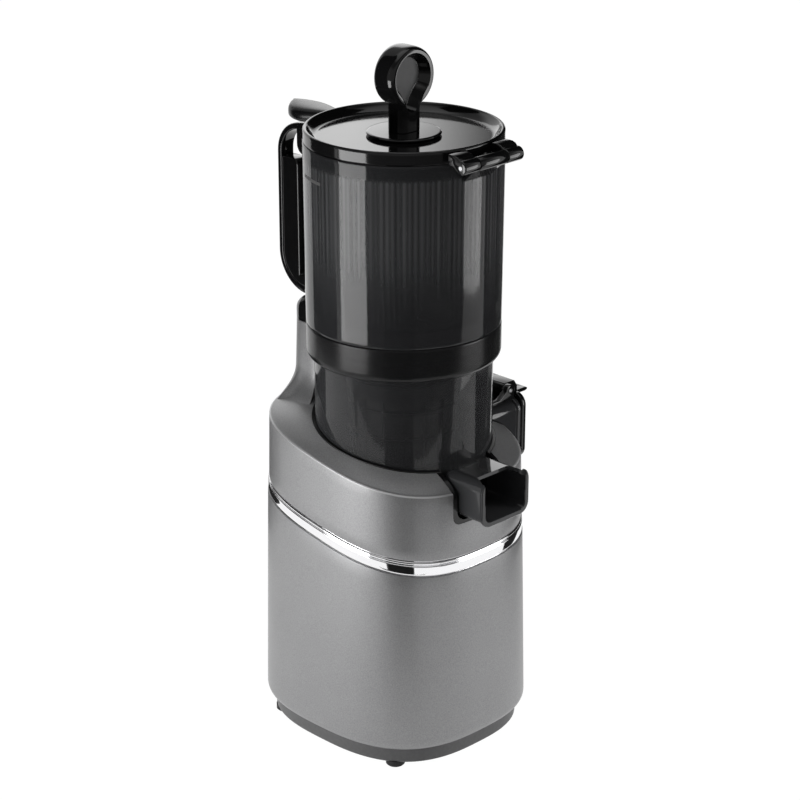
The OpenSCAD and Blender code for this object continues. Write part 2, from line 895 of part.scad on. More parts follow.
spindle_r = 3;
switch_w = 30;
switch_d = 22;
switch_back = 14;
switch_y = rear_y - switch_back;

// Rotary switch behind the back wall
module selector_switch() color("#303236") {
    difference() {
        union() {
            translate([-switch_w / 2, switch_y - switch_d, selector_z - switch_w / 2])
                cube([switch_w, switch_d, switch_w]);
            translate([0, switch_y + spindle_r, selector_z])
                rotate([90, 0, 0])
                    cylinder(r = 2 * spindle_r, h = 2 * spindle_r);
            translate([-bezel_neck_r, switch_y - board_t, selector_z - bezel_neck_r / 2])
                cube([2 * bezel_neck_r, board_t, bezel_neck_r]);
        }
        translate([0, rear_y, selector_z])
            rotate([90, 0, 0])
                cylinder(r = spindle_r + run_gap, h = rear_y - switch_y + switch_d / 2);
    }
}

bezel_lip = 2.4;

// Bright ring round the selector, with a dark well for the knob
module selector_bezel() color("#c9cbce") {
    translate([0, rear_y + bezel_lip, selector_z])
        rotate([90, 0, 0])
            difference() {
                union() {
                    cylinder(r1 = bezel_r - bezel_lip / 2, r2 = bezel_r, h = bezel_lip / 2);
                    translate([0, 0, bezel_lip / 2])
                        cylinder(r = bezel_r, h = bezel_lip / 2 + bezel_seat - run_gap);
                    cylinder(r = bezel_neck_r, h = rear_y + bezel_lip - switch_y - snap_gap);
                }
                translate([0, 0, -cut])
                    cylinder(r = selector_r + slide_gap, h = bezel_lip + housing_wall + cut);
                translate([0, 0, -cut])
                    cylinder(r = 2 * spindle_r + slide_gap, h = rear_y);
            }
}

selector_grip_w = 6;
selector_round = 1.6;

// Selector knob with a grip bar and its spindle
module selector_knob() color("#1d1d1f") {
    translate([0, rear_y + selector_t, selector_z])
        rotate([90, 0, 0]) {
            difference() {
                translate([0, 0, selector_t / 2])
                    cylinder(r = selector_r, h = selector_t / 2 + housing_wall - seat_gap);
            }
            translate([0, 0, selector_t / 2 - selector_round])
                cylinder(r1 = selector_r - selector_round, r2 = selector_r, h = selector_round);
            translate([-selector_grip_w / 2, -selector_r + 2 * selector_round, 0])
                cube([selector_grip_w, 2 * selector_r - 4 * selector_round, selector_t]);
            translate([0, 0, selector_t / 2])
                cylinder(r = spindle_r, h = selector_t / 2 + rear_y - switch_y + switch_d / 4);
        }
}

// Juicing bowl

hub_r = 13;
socket_r = 8.4;
hub_bore_r = socket_r + run_gap;
hub_h = 13;
floor_t = 3;
lip_t = 1.4;
lip_l = 3;
chute_mouth_edge = 2.8;
seal_top = bowl_z + floor_t + hub_h + run_gap + lip_t;

// One outlet's outer form and its bore, towards +X
module outlet(z, h, reach, half_w) {
    prism_x(
        hub_r * 3, reach - hub_r * 3, half_w - lip_t, z + lip_t, h - 2 * lip_t,
        outlet_corner - lip_t
    );
    prism_x(reach - lip_l, lip_l, half_w, z, h, outlet_corner);
}

module outlet_bore(z, h, reach, half_w) {
    prism_x(
        hub_r * 3, reach - hub_r * 3 + cut, half_w - lip_t - bowl_wall,
        z + lip_t + bowl_wall, h - 2 * (lip_t + bowl_wall), outlet_corner - lip_t - bowl_wall
    );
}

// Smoke-tinted bowl with the pulp chute at the front and the juice spout at the side
module juicing_bowl() color("#54565a", 0.6) {
    difference() {
        union() {
            translate([0, 0, bowl_z])
                cylinder(r = bowl_r, h = bowl_h);
            outlet(spout_z, spout_h, spout_reach, spout_half_w);
            to_front()
                outlet(chute_z, chute_h, chute_reach, chute_half_w);
        }
        translate([0, 0, bowl_z + floor_t])
            difference() {
                cylinder(r = bowl_r - bowl_wall, h = bowl_h);
                cylinder(r = hub_r, h = hub_h);
            }
        translate([0, 0, bowl_z - cut])
            cylinder(r = hub_bore_r, h = bowl_h);
        outlet_bore(spout_z, spout_h, spout_reach, spout_half_w);
        to_front()
            outlet_bore(chute_z, chute_h, chute_reach, chute_half_w);
        translate([0, 0, chute_z + chute_h / 2])
            linear_extrude(chute_h)
                polygon([
                    [-chute_half_w + chute_mouth_edge, -chute_reach - cut],
                    [chute_half_w - chute_mouth_edge, -chute_reach - cut],
                    [chute_half_w - outlet_corner, -chute_reach + chute_cut_back],
                    [-chute_half_w + outlet_corner, -chute_reach + chute_cut_back]
                ]);
    }
}

cap_pin_back = 7;
cap_pin_rise = 7.9;
cap_pin_x = spout_reach - cap_pin_back;
spout_top = spout_z + spout_h;
cap_pin_z = spout_top + cap_pin_rise;
ear_foot_share = 0.62;
ear_r = 4.5;
ear_half = 19;
ear_t = 4.6;
bracket_t = 2.6;

// Black hinge bracket on top of the juice spout
module cap_bracket() color("#191919") {
    difference() {
        union() {
            translate([bowl_r + slide_gap, -ear_half, spout_top + snap_gap])
                cube([spout_reach - lip_l - bowl_r - slide_gap, 2 * ear_half, bracket_t]);
            for (side = [-1, 1])
                translate([0, side * (ear_half - ear_t / 2), 0])
                    bracket_ear();
        }
        translate([cap_pin_x, ear_half + cut, cap_pin_z])
            rotate([90, 0, 0])
                cylinder(r = pin_r + run_gap, h = 2 * (ear_half + cut));
    }
}

module bracket_ear() {
    translate([cap_pin_x, ear_t / 2, cap_pin_z])
        rotate([90, 0, 0])
            cylinder(r = ear_r, h = ear_t);
    translate([cap_pin_x, ear_t / 2, 0])
        rotate([90, 0, 0])
            linear_extrude(ear_t)
                polygon([
                    [-ear_foot_share * (cap_pin_x - bowl_r - slide_gap), spout_top + snap_gap],
                    [ear_r, spout_top + snap_gap],
                    [ear_r, cap_pin_z],
                    [0, cap_pin_z + ear_r],
                    [-ear_r, cap_pin_z]
                ]);
}

// Steel pin of the juice cap's hinge
module cap_pin() color("#c8cacc") {
    translate([cap_pin_x, ear_half + snap_gap, cap_pin_z])
        rotate([90, 0, 0])
            cylinder(r = pin_r, h = 2 * (ear_half + snap_gap));
}

cap_t = 4.4;
cap_low = 5.4;
cap_high = 3;
cap_seal_t = 1.6;
cap_x = spout_reach + seat_gap + cap_seal_t;
cap_lever_l = 18;
cap_lever_t = 3;
cap_lever_half = 8;
cap_knuckle_half = ear_half - ear_t - slide_gap;
cap_arm_t = 3;

// Hinged cap that closes the juice spout, with its lifting lever
module juice_cap() color("#1b1b1b") {
    difference() {
        union() {
            prism_x(cap_x, cap_t, spout_half_w, spout_z - cap_low, spout_h + cap_low + cap_high, outlet_corner);
            translate([cap_pin_x, cap_knuckle_half, cap_pin_z])
                rotate([90, 0, 0])
                    cylinder(r = ear_r, h = 2 * cap_knuckle_half);
            translate([cap_pin_x, -cap_knuckle_half, cap_pin_z])
                cube([cap_x + cap_t - cap_pin_x, 2 * cap_knuckle_half, ear_r]);
            translate([cap_x, -cap_knuckle_half, spout_top + cap_high - outlet_corner])
                cube([cap_t, 2 * cap_knuckle_half, cap_pin_z + ear_r - spout_top - cap_high + outlet_corner]);
            translate([cap_x + cap_t - cut, -cap_lever_half, spout_top - cap_lever_t])
                cube([cap_lever_l + cut, 2 * cap_lever_half, cap_lever_t]);
        }
        translate([cap_pin_x, ear_half, cap_pin_z])
            rotate([90, 0, 0])
                cylinder(r = pin_r + run_gap, h = 2 * ear_half);
    }
}

// Silicone pad on the cap's inner face
module juice_cap_seal() color("#3a3a3a") {
    prism_x(
        cap_x - cap_seal_t, cap_seal_t - snap_gap, spout_half_w - lip_t, spout_z + lip_t,
        spout_h - 2 * lip_t, outlet_corner - lip_t
    );
}

// Silicone ring in the bowl's hub
module bowl_seal() color("#5a2f2f") {
    tube(hub_r, socket_r + slide_gap, seal_top - lip_t, lip_t);
}

// Strainer

strainer_floor_t = 2;
strainer_z = bowl_z + floor_t + strainer_floor_t + snap_gap;
strainer_step = 1.6;
rib_count = 16;
ring_gap = 21;
ring_h = 2.4;
rail_h = 6;

// Outer radius of the strainer at a height above its foot
function strainer_r(h) = strainer_foot_r + (strainer_top_r - strainer_foot_r) * h / strainer_h;

// A conical ring of the strainer between two heights above its foot
module strainer_ring(h0, h1, out, inner) {
    rotate_extrude()
        polygon([
            [strainer_r(h0) - inner, strainer_z + h0],
            [strainer_r(h0) + out, strainer_z + h0],
            [strainer_r(h1) + out, strainer_z + h1],
            [strainer_r(h1) - inner, strainer_z + h1]
        ]);
}

// Dark frame with an upper and a lower rail, ribs and hoops
module strainer_frame() color("#262628") {
    strainer_ring(0, rail_h, 0, strainer_wall);
    strainer_ring(strainer_h - 2 * rail_h, strainer_h, 0, strainer_wall);
    for (h = [rail_h + ring_gap : ring_gap : strainer_h - 2 * rail_h - ring_h])
        strainer_ring(h, h + ring_h, 0, strainer_wall);
    rotate_extrude()
        translate([hub_r + slide_gap, strainer_z - strainer_floor_t])
            square([strainer_foot_r - hub_r - slide_gap, strainer_floor_t]);
    for (i = [0 : rib_count - 1])
        rotate([0, 0, 360 * i / rib_count])
            rotate([90, 0, 0])
                translate([0, 0, -strainer_step / 2])
                    linear_extrude(strainer_step)
                        polygon([
                            [strainer_r(0) - strainer_wall, strainer_z],
                            [strainer_r(0), strainer_z],
                            [strainer_r(strainer_h) - strainer_wall / 4, strainer_z + strainer_h - rail_h],
                            [strainer_r(strainer_h) - strainer_wall, strainer_z + strainer_h - rail_h]
                        ]);
}

// Fine steel mesh cone inside the frame
module strainer_mesh() color("#77797c") {
    translate([0, 0, 0])
        strainer_ring(cut, strainer_h - cut, -strainer_wall - snap_gap, strainer_wall + snap_gap + mesh_t);
}

// Auger

strainer_inner = strainer_wall + 2 * snap_gap + mesh_t;
auger_lift = 1.2;
auger_z = strainer_z + auger_lift;
auger_gap = 0.6;
flight_foot_r = strainer_foot_r - strainer_inner - auger_gap;
flight_top_r = strainer_top_r - strainer_inner - auger_gap;
flight_drop = 3;
flight_h = strainer_h - flight_drop;
flight_share = 0.13;
flight_count = 2;
neck_flight_h = hopper_z + funnel_h / 2 - auger_z - flight_h;
hub_clearance = 1.2;
auger_recess_r = hub_r + hub_clearance;
nose_h = 14;
socket_roof = 3;
socket_top = hex_top + socket_roof;
neck_flight_turn = 300;

// A wedge that a twisted extrusion turns into a flight of steady thickness
module flight_wedge(r, share) {
    steps = 6;
    polygon(concat(
        [[0, 0]],
        [for (i = [0 : steps]) let (a = 360 * share * i / steps) r * [cos(a), sin(a)]]
    ));
}

// Slow-turning auger: a tapering core, fine flights in the strainer and a coarse one above
module auger() color("#2a2a2d") {
    difference() {
        union() {
            translate([0, 0, auger_z])
                cylinder(r1 = core_foot_r, r2 = core_top_r, h = flight_h);
            translate([0, 0, auger_z + flight_h])
                cylinder(r = core_top_r, h = neck_flight_h);
            translate([0, 0, auger_z + flight_h + neck_flight_h])
                cylinder(r1 = core_top_r, r2 = core_top_r / 2, h = nose_h);
            for (i = [0 : flight_count - 1])
                translate([0, 0, auger_z])
                    rotate([0, 0, 360 * i / flight_count])
                        linear_extrude(
                            flight_h, twist = -360 * flight_h / (flight_count * flight_pitch),
                            scale = flight_top_r / flight_foot_r, slices = 36, $fn = 6
                        )
                            flight_wedge(flight_foot_r, flight_share);
            translate([0, 0, auger_z + flight_h])
                linear_extrude(neck_flight_h, twist = -neck_flight_turn, slices = 20, $fn = 6)
                    flight_wedge(flight_top_r, flight_share);
        }
        translate([0, 0, auger_z - cut])
            cylinder(r = auger_recess_r, h = seal_top + seat_gap - auger_z + cut);
        translate([0, 0, auger_z - cut])
            cylinder(r = socket_r + snap_gap, h = socket_top - auger_z + cut);
    }
}

// Steel hexagon socket in the auger's foot
module auger_socket() color("#b4b6b9") {
    difference() {
        translate([0, 0, bowl_z + seat_gap])
            cylinder(r = socket_r, h = socket_top - bowl_z - seat_gap);
        translate([0, 0, bowl_z])
            cylinder(r = (hex_af / 2 + seat_gap) / cos(30), h = hex_top - bowl_z + seat_gap, $fn = 6);
    }
}

// Lock collar

throat_r = flight_top_r + auger_gap;
throat_wall = 2.4;
collar_round = 5.5;
collar_lip = 1;
collar_lip_w = 0.8;
plate_t = 3;
gasket_t = 1.4;
gasket_w = 4;
ledge_z = bowl_top + seat_gap + gasket_t;
throat_z = strainer_z + strainer_h + seat_gap;

// Tinted collar that locks the hopper on the bowl, with the throat down to the strainer
module lock_collar() color("#2b2b2e", 0.85) {
    rotate_extrude()
        polygon(concat(
            [
                [throat_r, throat_z],
                [throat_r + throat_wall, throat_z],
                [throat_r + throat_wall, ledge_z],
                [bowl_r + slide_gap, ledge_z],
                [bowl_r + slide_gap, collar_z + collar_lip]
            ],
            [for (a = [0 : 15 : 90])
                [
                    hopper_foot_r - (hopper_foot_r - bowl_r - slide_gap - collar_lip_w) * (1 - sin(a)),
                    collar_z + collar_round * (1 - cos(a))
                ]],
            [
                [hopper_foot_r, collar_top],
                [hopper_foot_r - hopper_wall, collar_top],
                [hopper_foot_r - hopper_wall, ledge_z + plate_t],
                [throat_r + throat_wall, ledge_z + plate_t],
                [throat_r + throat_wall, collar_top],
                [throat_r, collar_top]
            ]
        ));
}

// Silicone ring under the collar's ledge
module collar_gasket() color("#4a4a4a") {
    tube(bowl_r - snap_gap, bowl_r - gasket_w, bowl_top + seat_gap, gasket_t - run_gap);
}

// Hopper and handle

funnel_lift = 3;
funnel_z = hopper_z + funnel_lift;
knuckle_rise = 0.5;
knuckle_z = lid_z + knuckle_rise;
bracket_low = 14;

// Smoke-tinted hopper with a funnel floor and the middle barrel of the lid's hinge
module hopper() color("#3c3e42", 0.55) {
    rotate_extrude()
        polygon([
            [hopper_foot_r - hopper_wall, hopper_z],
            [hopper_foot_r, hopper_z],
            [hopper_rim_r, hopper_top],
            [hopper_rim_r - hopper_wall, hopper_top],
            [hopper_foot_r - hopper_wall, funnel_z + funnel_h],
            [throat_r + hopper_wall, funnel_z],
            [throat_r, funnel_z],
            [throat_r, hopper_z],
            [throat_r + throat_wall, hopper_z],
            [throat_r + throat_wall + cut, funnel_z - hopper_wall + cut],
            [hopper_foot_r - hopper_wall, funnel_z + funnel_h - hopper_wall]
        ]);
    difference() {
        union() {
            translate([-knuckle_half, -hinge_reach, knuckle_z])
                rotate([0, 90, 0])
                    cylinder(r = hinge_r, h = 2 * knuckle_half);
            translate([-knuckle_half, 0, 0])
                rotate([90, 0, 90])
                    linear_extrude(2 * knuckle_half)
                        polygon([
                            [-hinge_reach, knuckle_z - hinge_r],
                            [-hinge_reach, knuckle_z - seat_gap],
                            [-hinge_reach + hinge_r, hopper_top - seat_gap],
                            [-hopper_rim_r + hopper_wall / 2, hopper_top - seat_gap],
                            [-hopper_rim_r + hopper_wall / 2, hopper_top - bracket_low]
                        ]);
        }
        translate([-hinge_half, -hinge_reach, knuckle_z])
            rotate([0, 90, 0])
                cylinder(r = pin_r + run_gap, h = 2 * hinge_half);
        translate([0, 0, hopper_z])
            cylinder(r1 = hopper_foot_r - hopper_wall / 2, r2 = hopper_rim_r - hopper_wall / 2, h = hopper_h);
    }
}

handle_foot_z = neck_cap_top + 2 * seat_gap;
handle_base_z = handle_foot_z - strap_t - 2 * seat_gap;
handle_drop = 6.4;
handle_top_z = hopper_top - handle_drop;
handle_top_round = 24;
grip_z = handle_foot_z + handle_arm_h;
grip_h = 88;
grip_y = handle_reach - strap_t - grip_d;
grip_round = 5;
boss_low = 23.5;
boss_round = 8;
boss_reach = grip_y;
strap_run = 5;
strap_end_y = neck_reach + strap_run;
pad_t = 2;
pad_w = 22;
pad_h = 26;
pad_low_h = 15;
pad_corner = 3;

// Side outline of the strap's outer face, drawn in by an amount
module handle_form(inset) {
    translate([0, handle_base_z + inset])
        square([handle_reach - handle_foot_round, handle_top_z - handle_base_z - 2 * inset]);
    translate([0, handle_base_z + handle_foot_round])
        square([
            handle_reach - inset,
            handle_top_z - handle_base_z - handle_foot_round - handle_top_round
        ]);
    translate([0, handle_top_z - handle_top_round - cut])
        square([handle_reach - handle_top_round, handle_top_round - inset + cut]);
    translate([handle_reach - handle_foot_round, handle_base_z + handle_foot_round])
        circle(r = handle_foot_round - inset);
    translate([handle_reach - handle_top_round, handle_top_z - handle_top_round])
        circle(r = handle_top_round - inset);
}

// A side outline given the handle's width
module handle_slab(w) {
    rotate([90, 0, 90])
        translate([0, 0, -w / 2])
            linear_extrude(w)
                children();
}

// Everything inside the hopper's tapering wall
module hopper_skin(grow) {
    translate([0, 0, hopper_z])
        cylinder(r1 = hopper_foot_r + grow, r2 = hopper_rim_r + grow, h = hopper_h);
}

// Curved pad on the hopper's wall between two heights
module handle_pad(z, h) {
    intersection() {
        translate([0, 0, z])
            cylinder(r = hopper_rim_r + pad_t, h = h);
        translate([0, hopper_rim_r + 2 * pad_t, z + h / 2])
            rotate([90, 0, 0])
                linear_extrude(hopper_rim_r)
                    round_rect(pad_w / 2, h / 2, pad_corner);
    }
}

handle_screw_r = 1.3;
handle_head_r = 2.6;
handle_head_depth = 8;
handle_shares = [0.25, 0.75];

module at_handle_screws() {
    for (t = handle_shares)
        translate([0, grip_y + handle_head_depth, grip_z + t * grip_h])
            rotate([-90, 0, 0])
                children();
}

magnet_r = 4;
magnet_h = 5;
magnet_skin = 0.6;
magnet_y = (neck_inner_r + neck_reach) / 2;

// Grip and lower arm of the handle, with the pad that holds them to the hopper
module handle_grip() color("#1c1c1e") {
    difference() {
        union() {
            handle_slab(handle_w)
                intersection() {
                    handle_form(strap_t + snap_gap);
                    union() {
                        translate([grip_y, grip_z])
                            square([grip_d, grip_h - grip_round]);
                        translate([grip_y + grip_round, grip_z])
                            square([grip_d, grip_h]);
                        translate([grip_y + grip_round, grip_z + grip_h - grip_round])
                            circle(r = grip_round);
                        translate([0, handle_foot_z])
                            square([handle_reach, handle_arm_h + cut]);
                    }
                }
            handle_pad(handle_foot_z, pad_low_h);
        }
        hopper_skin(snap_gap);
        at_handle_screws()
            cylinder(r = handle_screw_r + run_gap, h = 2 * grip_d);
        at_handle_screws()
            translate([0, 0, -handle_reach])
                cylinder(r = handle_head_r + run_gap, h = handle_reach + handle_head_r);
        translate([0, magnet_y, handle_foot_z - cut])
            cylinder(r = magnet_r + snap_gap, h = magnet_h + magnet_skin + cut);
    }
}

// Thin outer strap from the rounded boss on the hopper's wall to the neck's back corner
module handle_strap() color("#1c1c1e") {
    difference() {
        union() {
            handle_slab(handle_w)
                difference() {
                    handle_form(0);
                    handle_form(strap_t);
                    translate([0, handle_base_z - cut])
                        square([strap_end_y, handle_foot_round]);
                }
            handle_slab(handle_w) {
                translate([0, handle_top_z - boss_low])
                    square([boss_reach - boss_round, boss_low - cut]);
                translate([0, handle_top_z - boss_low + boss_round])
                    square([boss_reach, boss_low - 2 * boss_round - strap_t]);
                translate([boss_reach - boss_round, handle_top_z - boss_low + boss_round])
                    circle(r = boss_round);
            }
            handle_pad(handle_top_z - pad_h, pad_h);
        }
        hopper_skin(snap_gap);
        at_handle_screws()
            cylinder(r = handle_screw_r + run_gap, h = grip_d - handle_head_depth + strap_t / 2);
    }
}

// Small screws from the finger side through the grip into the strap
module handle_screws() color("#9a9c9f") {
    at_handle_screws() {
        cylinder(r = handle_screw_r, h = grip_d - handle_head_depth + strap_t / 3);
        cylinder(r = handle_head_r, h = handle_head_r);
    }
}

// Magnet in the handle's foot for the reed switch
module handle_magnet() color("#8f9194") {
    translate([0, magnet_y, handle_foot_z + magnet_skin])
        cylinder(r = magnet_r, h = magnet_h - run_gap);
}

// Lid

lid_bead = 3;
lid_rim_w = 9;
lid_floor_r = hopper_rim_r - lid_rim_w;
lid_floor_t = 2.6;
lid_floor_rise = 3.2;
lid_floor_z = lid_z + lid_floor_rise;
spigot_t = 2;
spigot_h = 6;
spigot_gap = 0.5;
spigot_r = hopper_rim_r - hopper_wall - spigot_gap;
lug_gap = 0.35;
gasket_depth = 1;
gasket_h = 2;
gasket_drop = 4;
lid_gasket_z = lid_z - gasket_drop;

// Glossy lid: a dished disc with a rolled rim, a spigot and two hinge lugs
module lid() color("#171718") {
    difference() {
        union() {
            rotate_extrude()
                polygon(concat(
                    [
                        [plunger_r + slide_gap, lid_floor_z - lid_floor_t],
                        [spigot_r - spigot_t, lid_floor_z - lid_floor_t],
                        [spigot_r - spigot_t, lid_z - spigot_h],
                        [spigot_r, lid_z - spigot_h],
                        [spigot_r, lid_z],
                        [hopper_rim_r, lid_z]
                    ],
                    [for (a = [0 : 30 : 180])
                        [
                            hopper_rim_r - lid_bead / 2 + lid_bead / 2 * cos(a),
                            lid_top - lid_bead / 2 + lid_bead / 2 * sin(a)
                        ]],
                    [
                        [lid_floor_r, lid_floor_z],
                        [plunger_r + slide_gap, lid_floor_z]
                    ]
                ));
            for (side = [-1, 1])
                translate([side * (knuckle_half + lug_gap + (hinge_half - knuckle_half - lug_gap) / 2), 0, 0])
                    lid_lug(hinge_half - knuckle_half - lug_gap);
        }
        translate([-2 * hinge_half, -hinge_reach, knuckle_z])
            rotate([0, 90, 0])
                cylinder(r = pin_r + run_gap, h = 4 * hinge_half);
        tube(spigot_r + cut, spigot_r - gasket_depth - run_gap, lid_gasket_z - run_gap, gasket_h + 2 * run_gap);
    }
}

// One hinge barrel with a flat arm to the rim
module lid_lug(w) {
    translate([-w / 2, -hinge_reach, knuckle_z])
        rotate([0, 90, 0])
            cylinder(r = hinge_r, h = w);
    difference() {
        translate([-w / 2, -hinge_reach, lid_z])
            cube([w, hinge_reach - hopper_rim_r + 3 * lid_bead, knuckle_z + hinge_r - lid_z]);
        translate([-w, 0, lid_z - cut])
            linear_extrude(lid_h)
                circle(r = lid_floor_r);
    }
}

// Silicone ring on the lid's spigot
module lid_gasket() color("#5b5b5b") {
    tube(spigot_r + snap_gap, spigot_r - gasket_depth, lid_gasket_z, gasket_h);
}

tab_root_w = 15;
tab_tip_w = 30;
tab_t = 6;
tab_lift = 3;
tab_tip_share = 0.7;

// Leaf-shaped thumb tab behind the rim, curved up towards its tip
module thumb_tab() color("#2c2c2e") {
    difference() {
        intersection() {
            translate([0, 0, hopper_top])
                linear_extrude(3 * tab_t)
                    hull() {
                        translate([0, hopper_rim_r])
                            circle(d = tab_root_w);
                        translate([0, tab_reach - tab_tip_w / 2])
                            circle(d = tab_tip_w);
                    }
            rotate([90, 0, 90])
                translate([0, 0, -tab_tip_w])
                    linear_extrude(2 * tab_tip_w)
                        polygon([
                            [hopper_rim_r - cut, lid_z + tab_lift],
                            [(hopper_rim_r + tab_reach) / 2, lid_z + tab_lift],
                            [tab_reach, lid_z + 2 * tab_lift],
                            [tab_reach, lid_z + 2 * tab_lift + tab_tip_share * tab_t],
                            [(hopper_rim_r + tab_reach) / 2, lid_z + tab_lift + tab_t],
                            [hopper_rim_r - cut, lid_z + tab_lift + tab_t]
                        ]);
        }
        translate([0, 0, lid_z - cut])
            cylinder(r = hopper_rim_r + run_gap, h = 3 * lid_h);
    }
}

// Steel pin of the lid's hinge
module lid_pin() color("#d5d7d9") {
    translate([-hinge_half, -hinge_reach, knuckle_z])
        rotate([0, 90, 0])
            cylinder(r = pin_r, h = 2 * hinge_half);
}

// Pusher

disc_z = lid_floor_z + seat_gap;
disc_top = disc_z + disc_t;
knob_top = disc_top + knob_h;
head_z = knob_top - knob_r;
column_half = 10;
dish_r = 16.5;
dish_foot_r = 12;
web_half = 1.5;
knob_round = 4.5;
column_squareness = 3.4;
// The column's outline: shares of the knob's height, and of the column's half width
column_shares = [[0, 1], [0.25, 1], [0.33, 1.06], [0.42, 1.22], [0.5, 1.5], [0.56, 1.7]];
disc_step = 1;

// Paddle knob: a round head dished on both faces, on a square column
module pusher_knob() color("#141415") {
    difference() {
        union() {
            translate([0, 0, head_z])
                rotate([90, 0, 0])
                    rotate_extrude()
                        polygon(concat(
                            [[0, -knob_t / 2]],
                            [for (a = [-90 : 18 : 0])
                                [
                                    knob_r - knob_round * (1 - cos(a)),
                                    -knob_t / 2 + knob_round * (1 + sin(a))
                                ]],
                            [for (a = [0 : 18 : 90])
                                [
                                    knob_r - knob_round * (1 - cos(a)),
                                    knob_t / 2 - knob_round * (1 - sin(a))
                                ]],
                            [[0, knob_t / 2]]
                        ));
            loft([
                for (p = column_shares)
                    ring(
                        column_half * p[1], knob_t / 2, 0, disc_top - run_gap + knob_h * p[0], 0,
                        column_squareness, neck_points
                    )
            ]);
        }
        for (side = [0, 180])
            rotate([0, 0, side])
                translate([0, -web_half, head_z])
                    rotate([90, 0, 0])
                        cylinder(r1 = dish_foot_r, r2 = dish_r + cut, h = knob_t / 2 - web_half + cut);
    }
}

// Round disc that closes the lid's feed hole
module pusher_disc() color("#171718") {
    translate([0, 0, disc_z])
        cylinder(r = disc_r - disc_step, h = disc_t / 3);
    translate([0, 0, disc_z + disc_t / 3])
        cylinder(r1 = disc_r, r2 = disc_r, h = disc_t / 3);
    translate([0, 0, disc_z + 2 * disc_t / 3])
        cylinder(r1 = disc_r, r2 = disc_r - disc_t / 4, h = disc_t / 3 - run_gap);
}

plunger_wall = 2.2;
plunger_round = 3;

// Hollow plunger that presses food through the feed hole
module pusher_plunger() color("#1f1f21") {
    difference() {
        union() {
            translate([0, 0, disc_z - plunger_h + plunger_round])
                cylinder(r = plunger_r, h = plunger_h - plunger_round - run_gap);
            translate([0, 0, disc_z - plunger_h])
                cylinder(r1 = plunger_r - plunger_round, r2 = plunger_r, h = plunger_round);
        }
        translate([0, 0, disc_z - plunger_h + plunger_wall])
            cylinder(r = plunger_r - plunger_wall - plunger_round / 2, h = plunger_h);
    }
}

foot_pads();
base_plate();
base_screws();
lower_housing();
trim_ring();
upper_housing();
well_liner();
front_saddle();
side_saddle();
neck_cap();
reed_switch();
gearbox();
gearbox_screws();
motor();
control_board();
cord_gland();
selector_switch();
selector_bezel();
shaft_seal();
drive_shaft();
selector_knob();
juicing_bowl();
cap_bracket();
cap_pin();
bowl_seal();
strainer_frame();
strainer_mesh();
juice_cap();
juice_cap_seal();
auger();
auger_socket();
lock_collar();
collar_gasket();
hopper();
handle_grip();
handle_strap();
handle_screws();
handle_magnet();
lid_pin();
lid();
lid_gasket();
thumb_tab();
pusher_knob();
pusher_disc();
pusher_plunger();
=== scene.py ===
import math

import bmesh
import bpy
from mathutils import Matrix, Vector


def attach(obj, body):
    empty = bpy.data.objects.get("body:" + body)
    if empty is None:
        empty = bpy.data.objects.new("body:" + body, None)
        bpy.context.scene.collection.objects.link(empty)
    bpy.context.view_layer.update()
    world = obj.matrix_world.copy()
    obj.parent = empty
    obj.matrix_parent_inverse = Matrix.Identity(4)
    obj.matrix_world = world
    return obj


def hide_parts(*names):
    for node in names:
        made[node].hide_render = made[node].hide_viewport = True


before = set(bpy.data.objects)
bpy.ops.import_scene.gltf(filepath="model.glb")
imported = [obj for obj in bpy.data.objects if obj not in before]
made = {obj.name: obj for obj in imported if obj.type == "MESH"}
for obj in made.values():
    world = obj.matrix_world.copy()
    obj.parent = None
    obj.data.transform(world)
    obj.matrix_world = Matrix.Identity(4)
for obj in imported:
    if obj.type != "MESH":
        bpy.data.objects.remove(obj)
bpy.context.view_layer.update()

# Rubber feet under the plinth.
# Soft black discs with a rounded lower edge, pressed into pockets of the base plate. The CAD solids
# are right as they are and only get their rubber.


class Link:
    """A shader socket that can stand in a sum. Each operation adds its own Math node."""

    def __init__(self, tree, socket):
        self.tree = tree
        self.socket = socket

    def maths(self, operation, other, turned_round=False):
        node = self.tree.nodes.new("ShaderNodeMath")
        node.operation = operation
        pair = (other, self) if turned_round else (self, other)
        for slot, value in zip(node.inputs, pair):
            feed(self.tree, slot, value)
        return Link(self.tree, node.outputs[0])

    def __add__(self, other):
        return self.maths("ADD", other)

    def __radd__(self, other):
        return self.maths("ADD", other, True)

    def __sub__(self, other):
        return self.maths("SUBTRACT", other)

    def __rsub__(self, other):
        return self.maths("SUBTRACT", other, True)

    def __mul__(self, other):
        return self.maths("MULTIPLY", other)

    def __rmul__(self, other):
        return self.maths("MULTIPLY", other, True)

    def __pow__(self, other):
        return self.maths("POWER", other)


def feed(tree, slot, value):
    """Links a socket, or writes a plain value on it."""
    if isinstance(value, Link):
        tree.links.new(value.socket, slot)
    else:
        slot.default_value = value


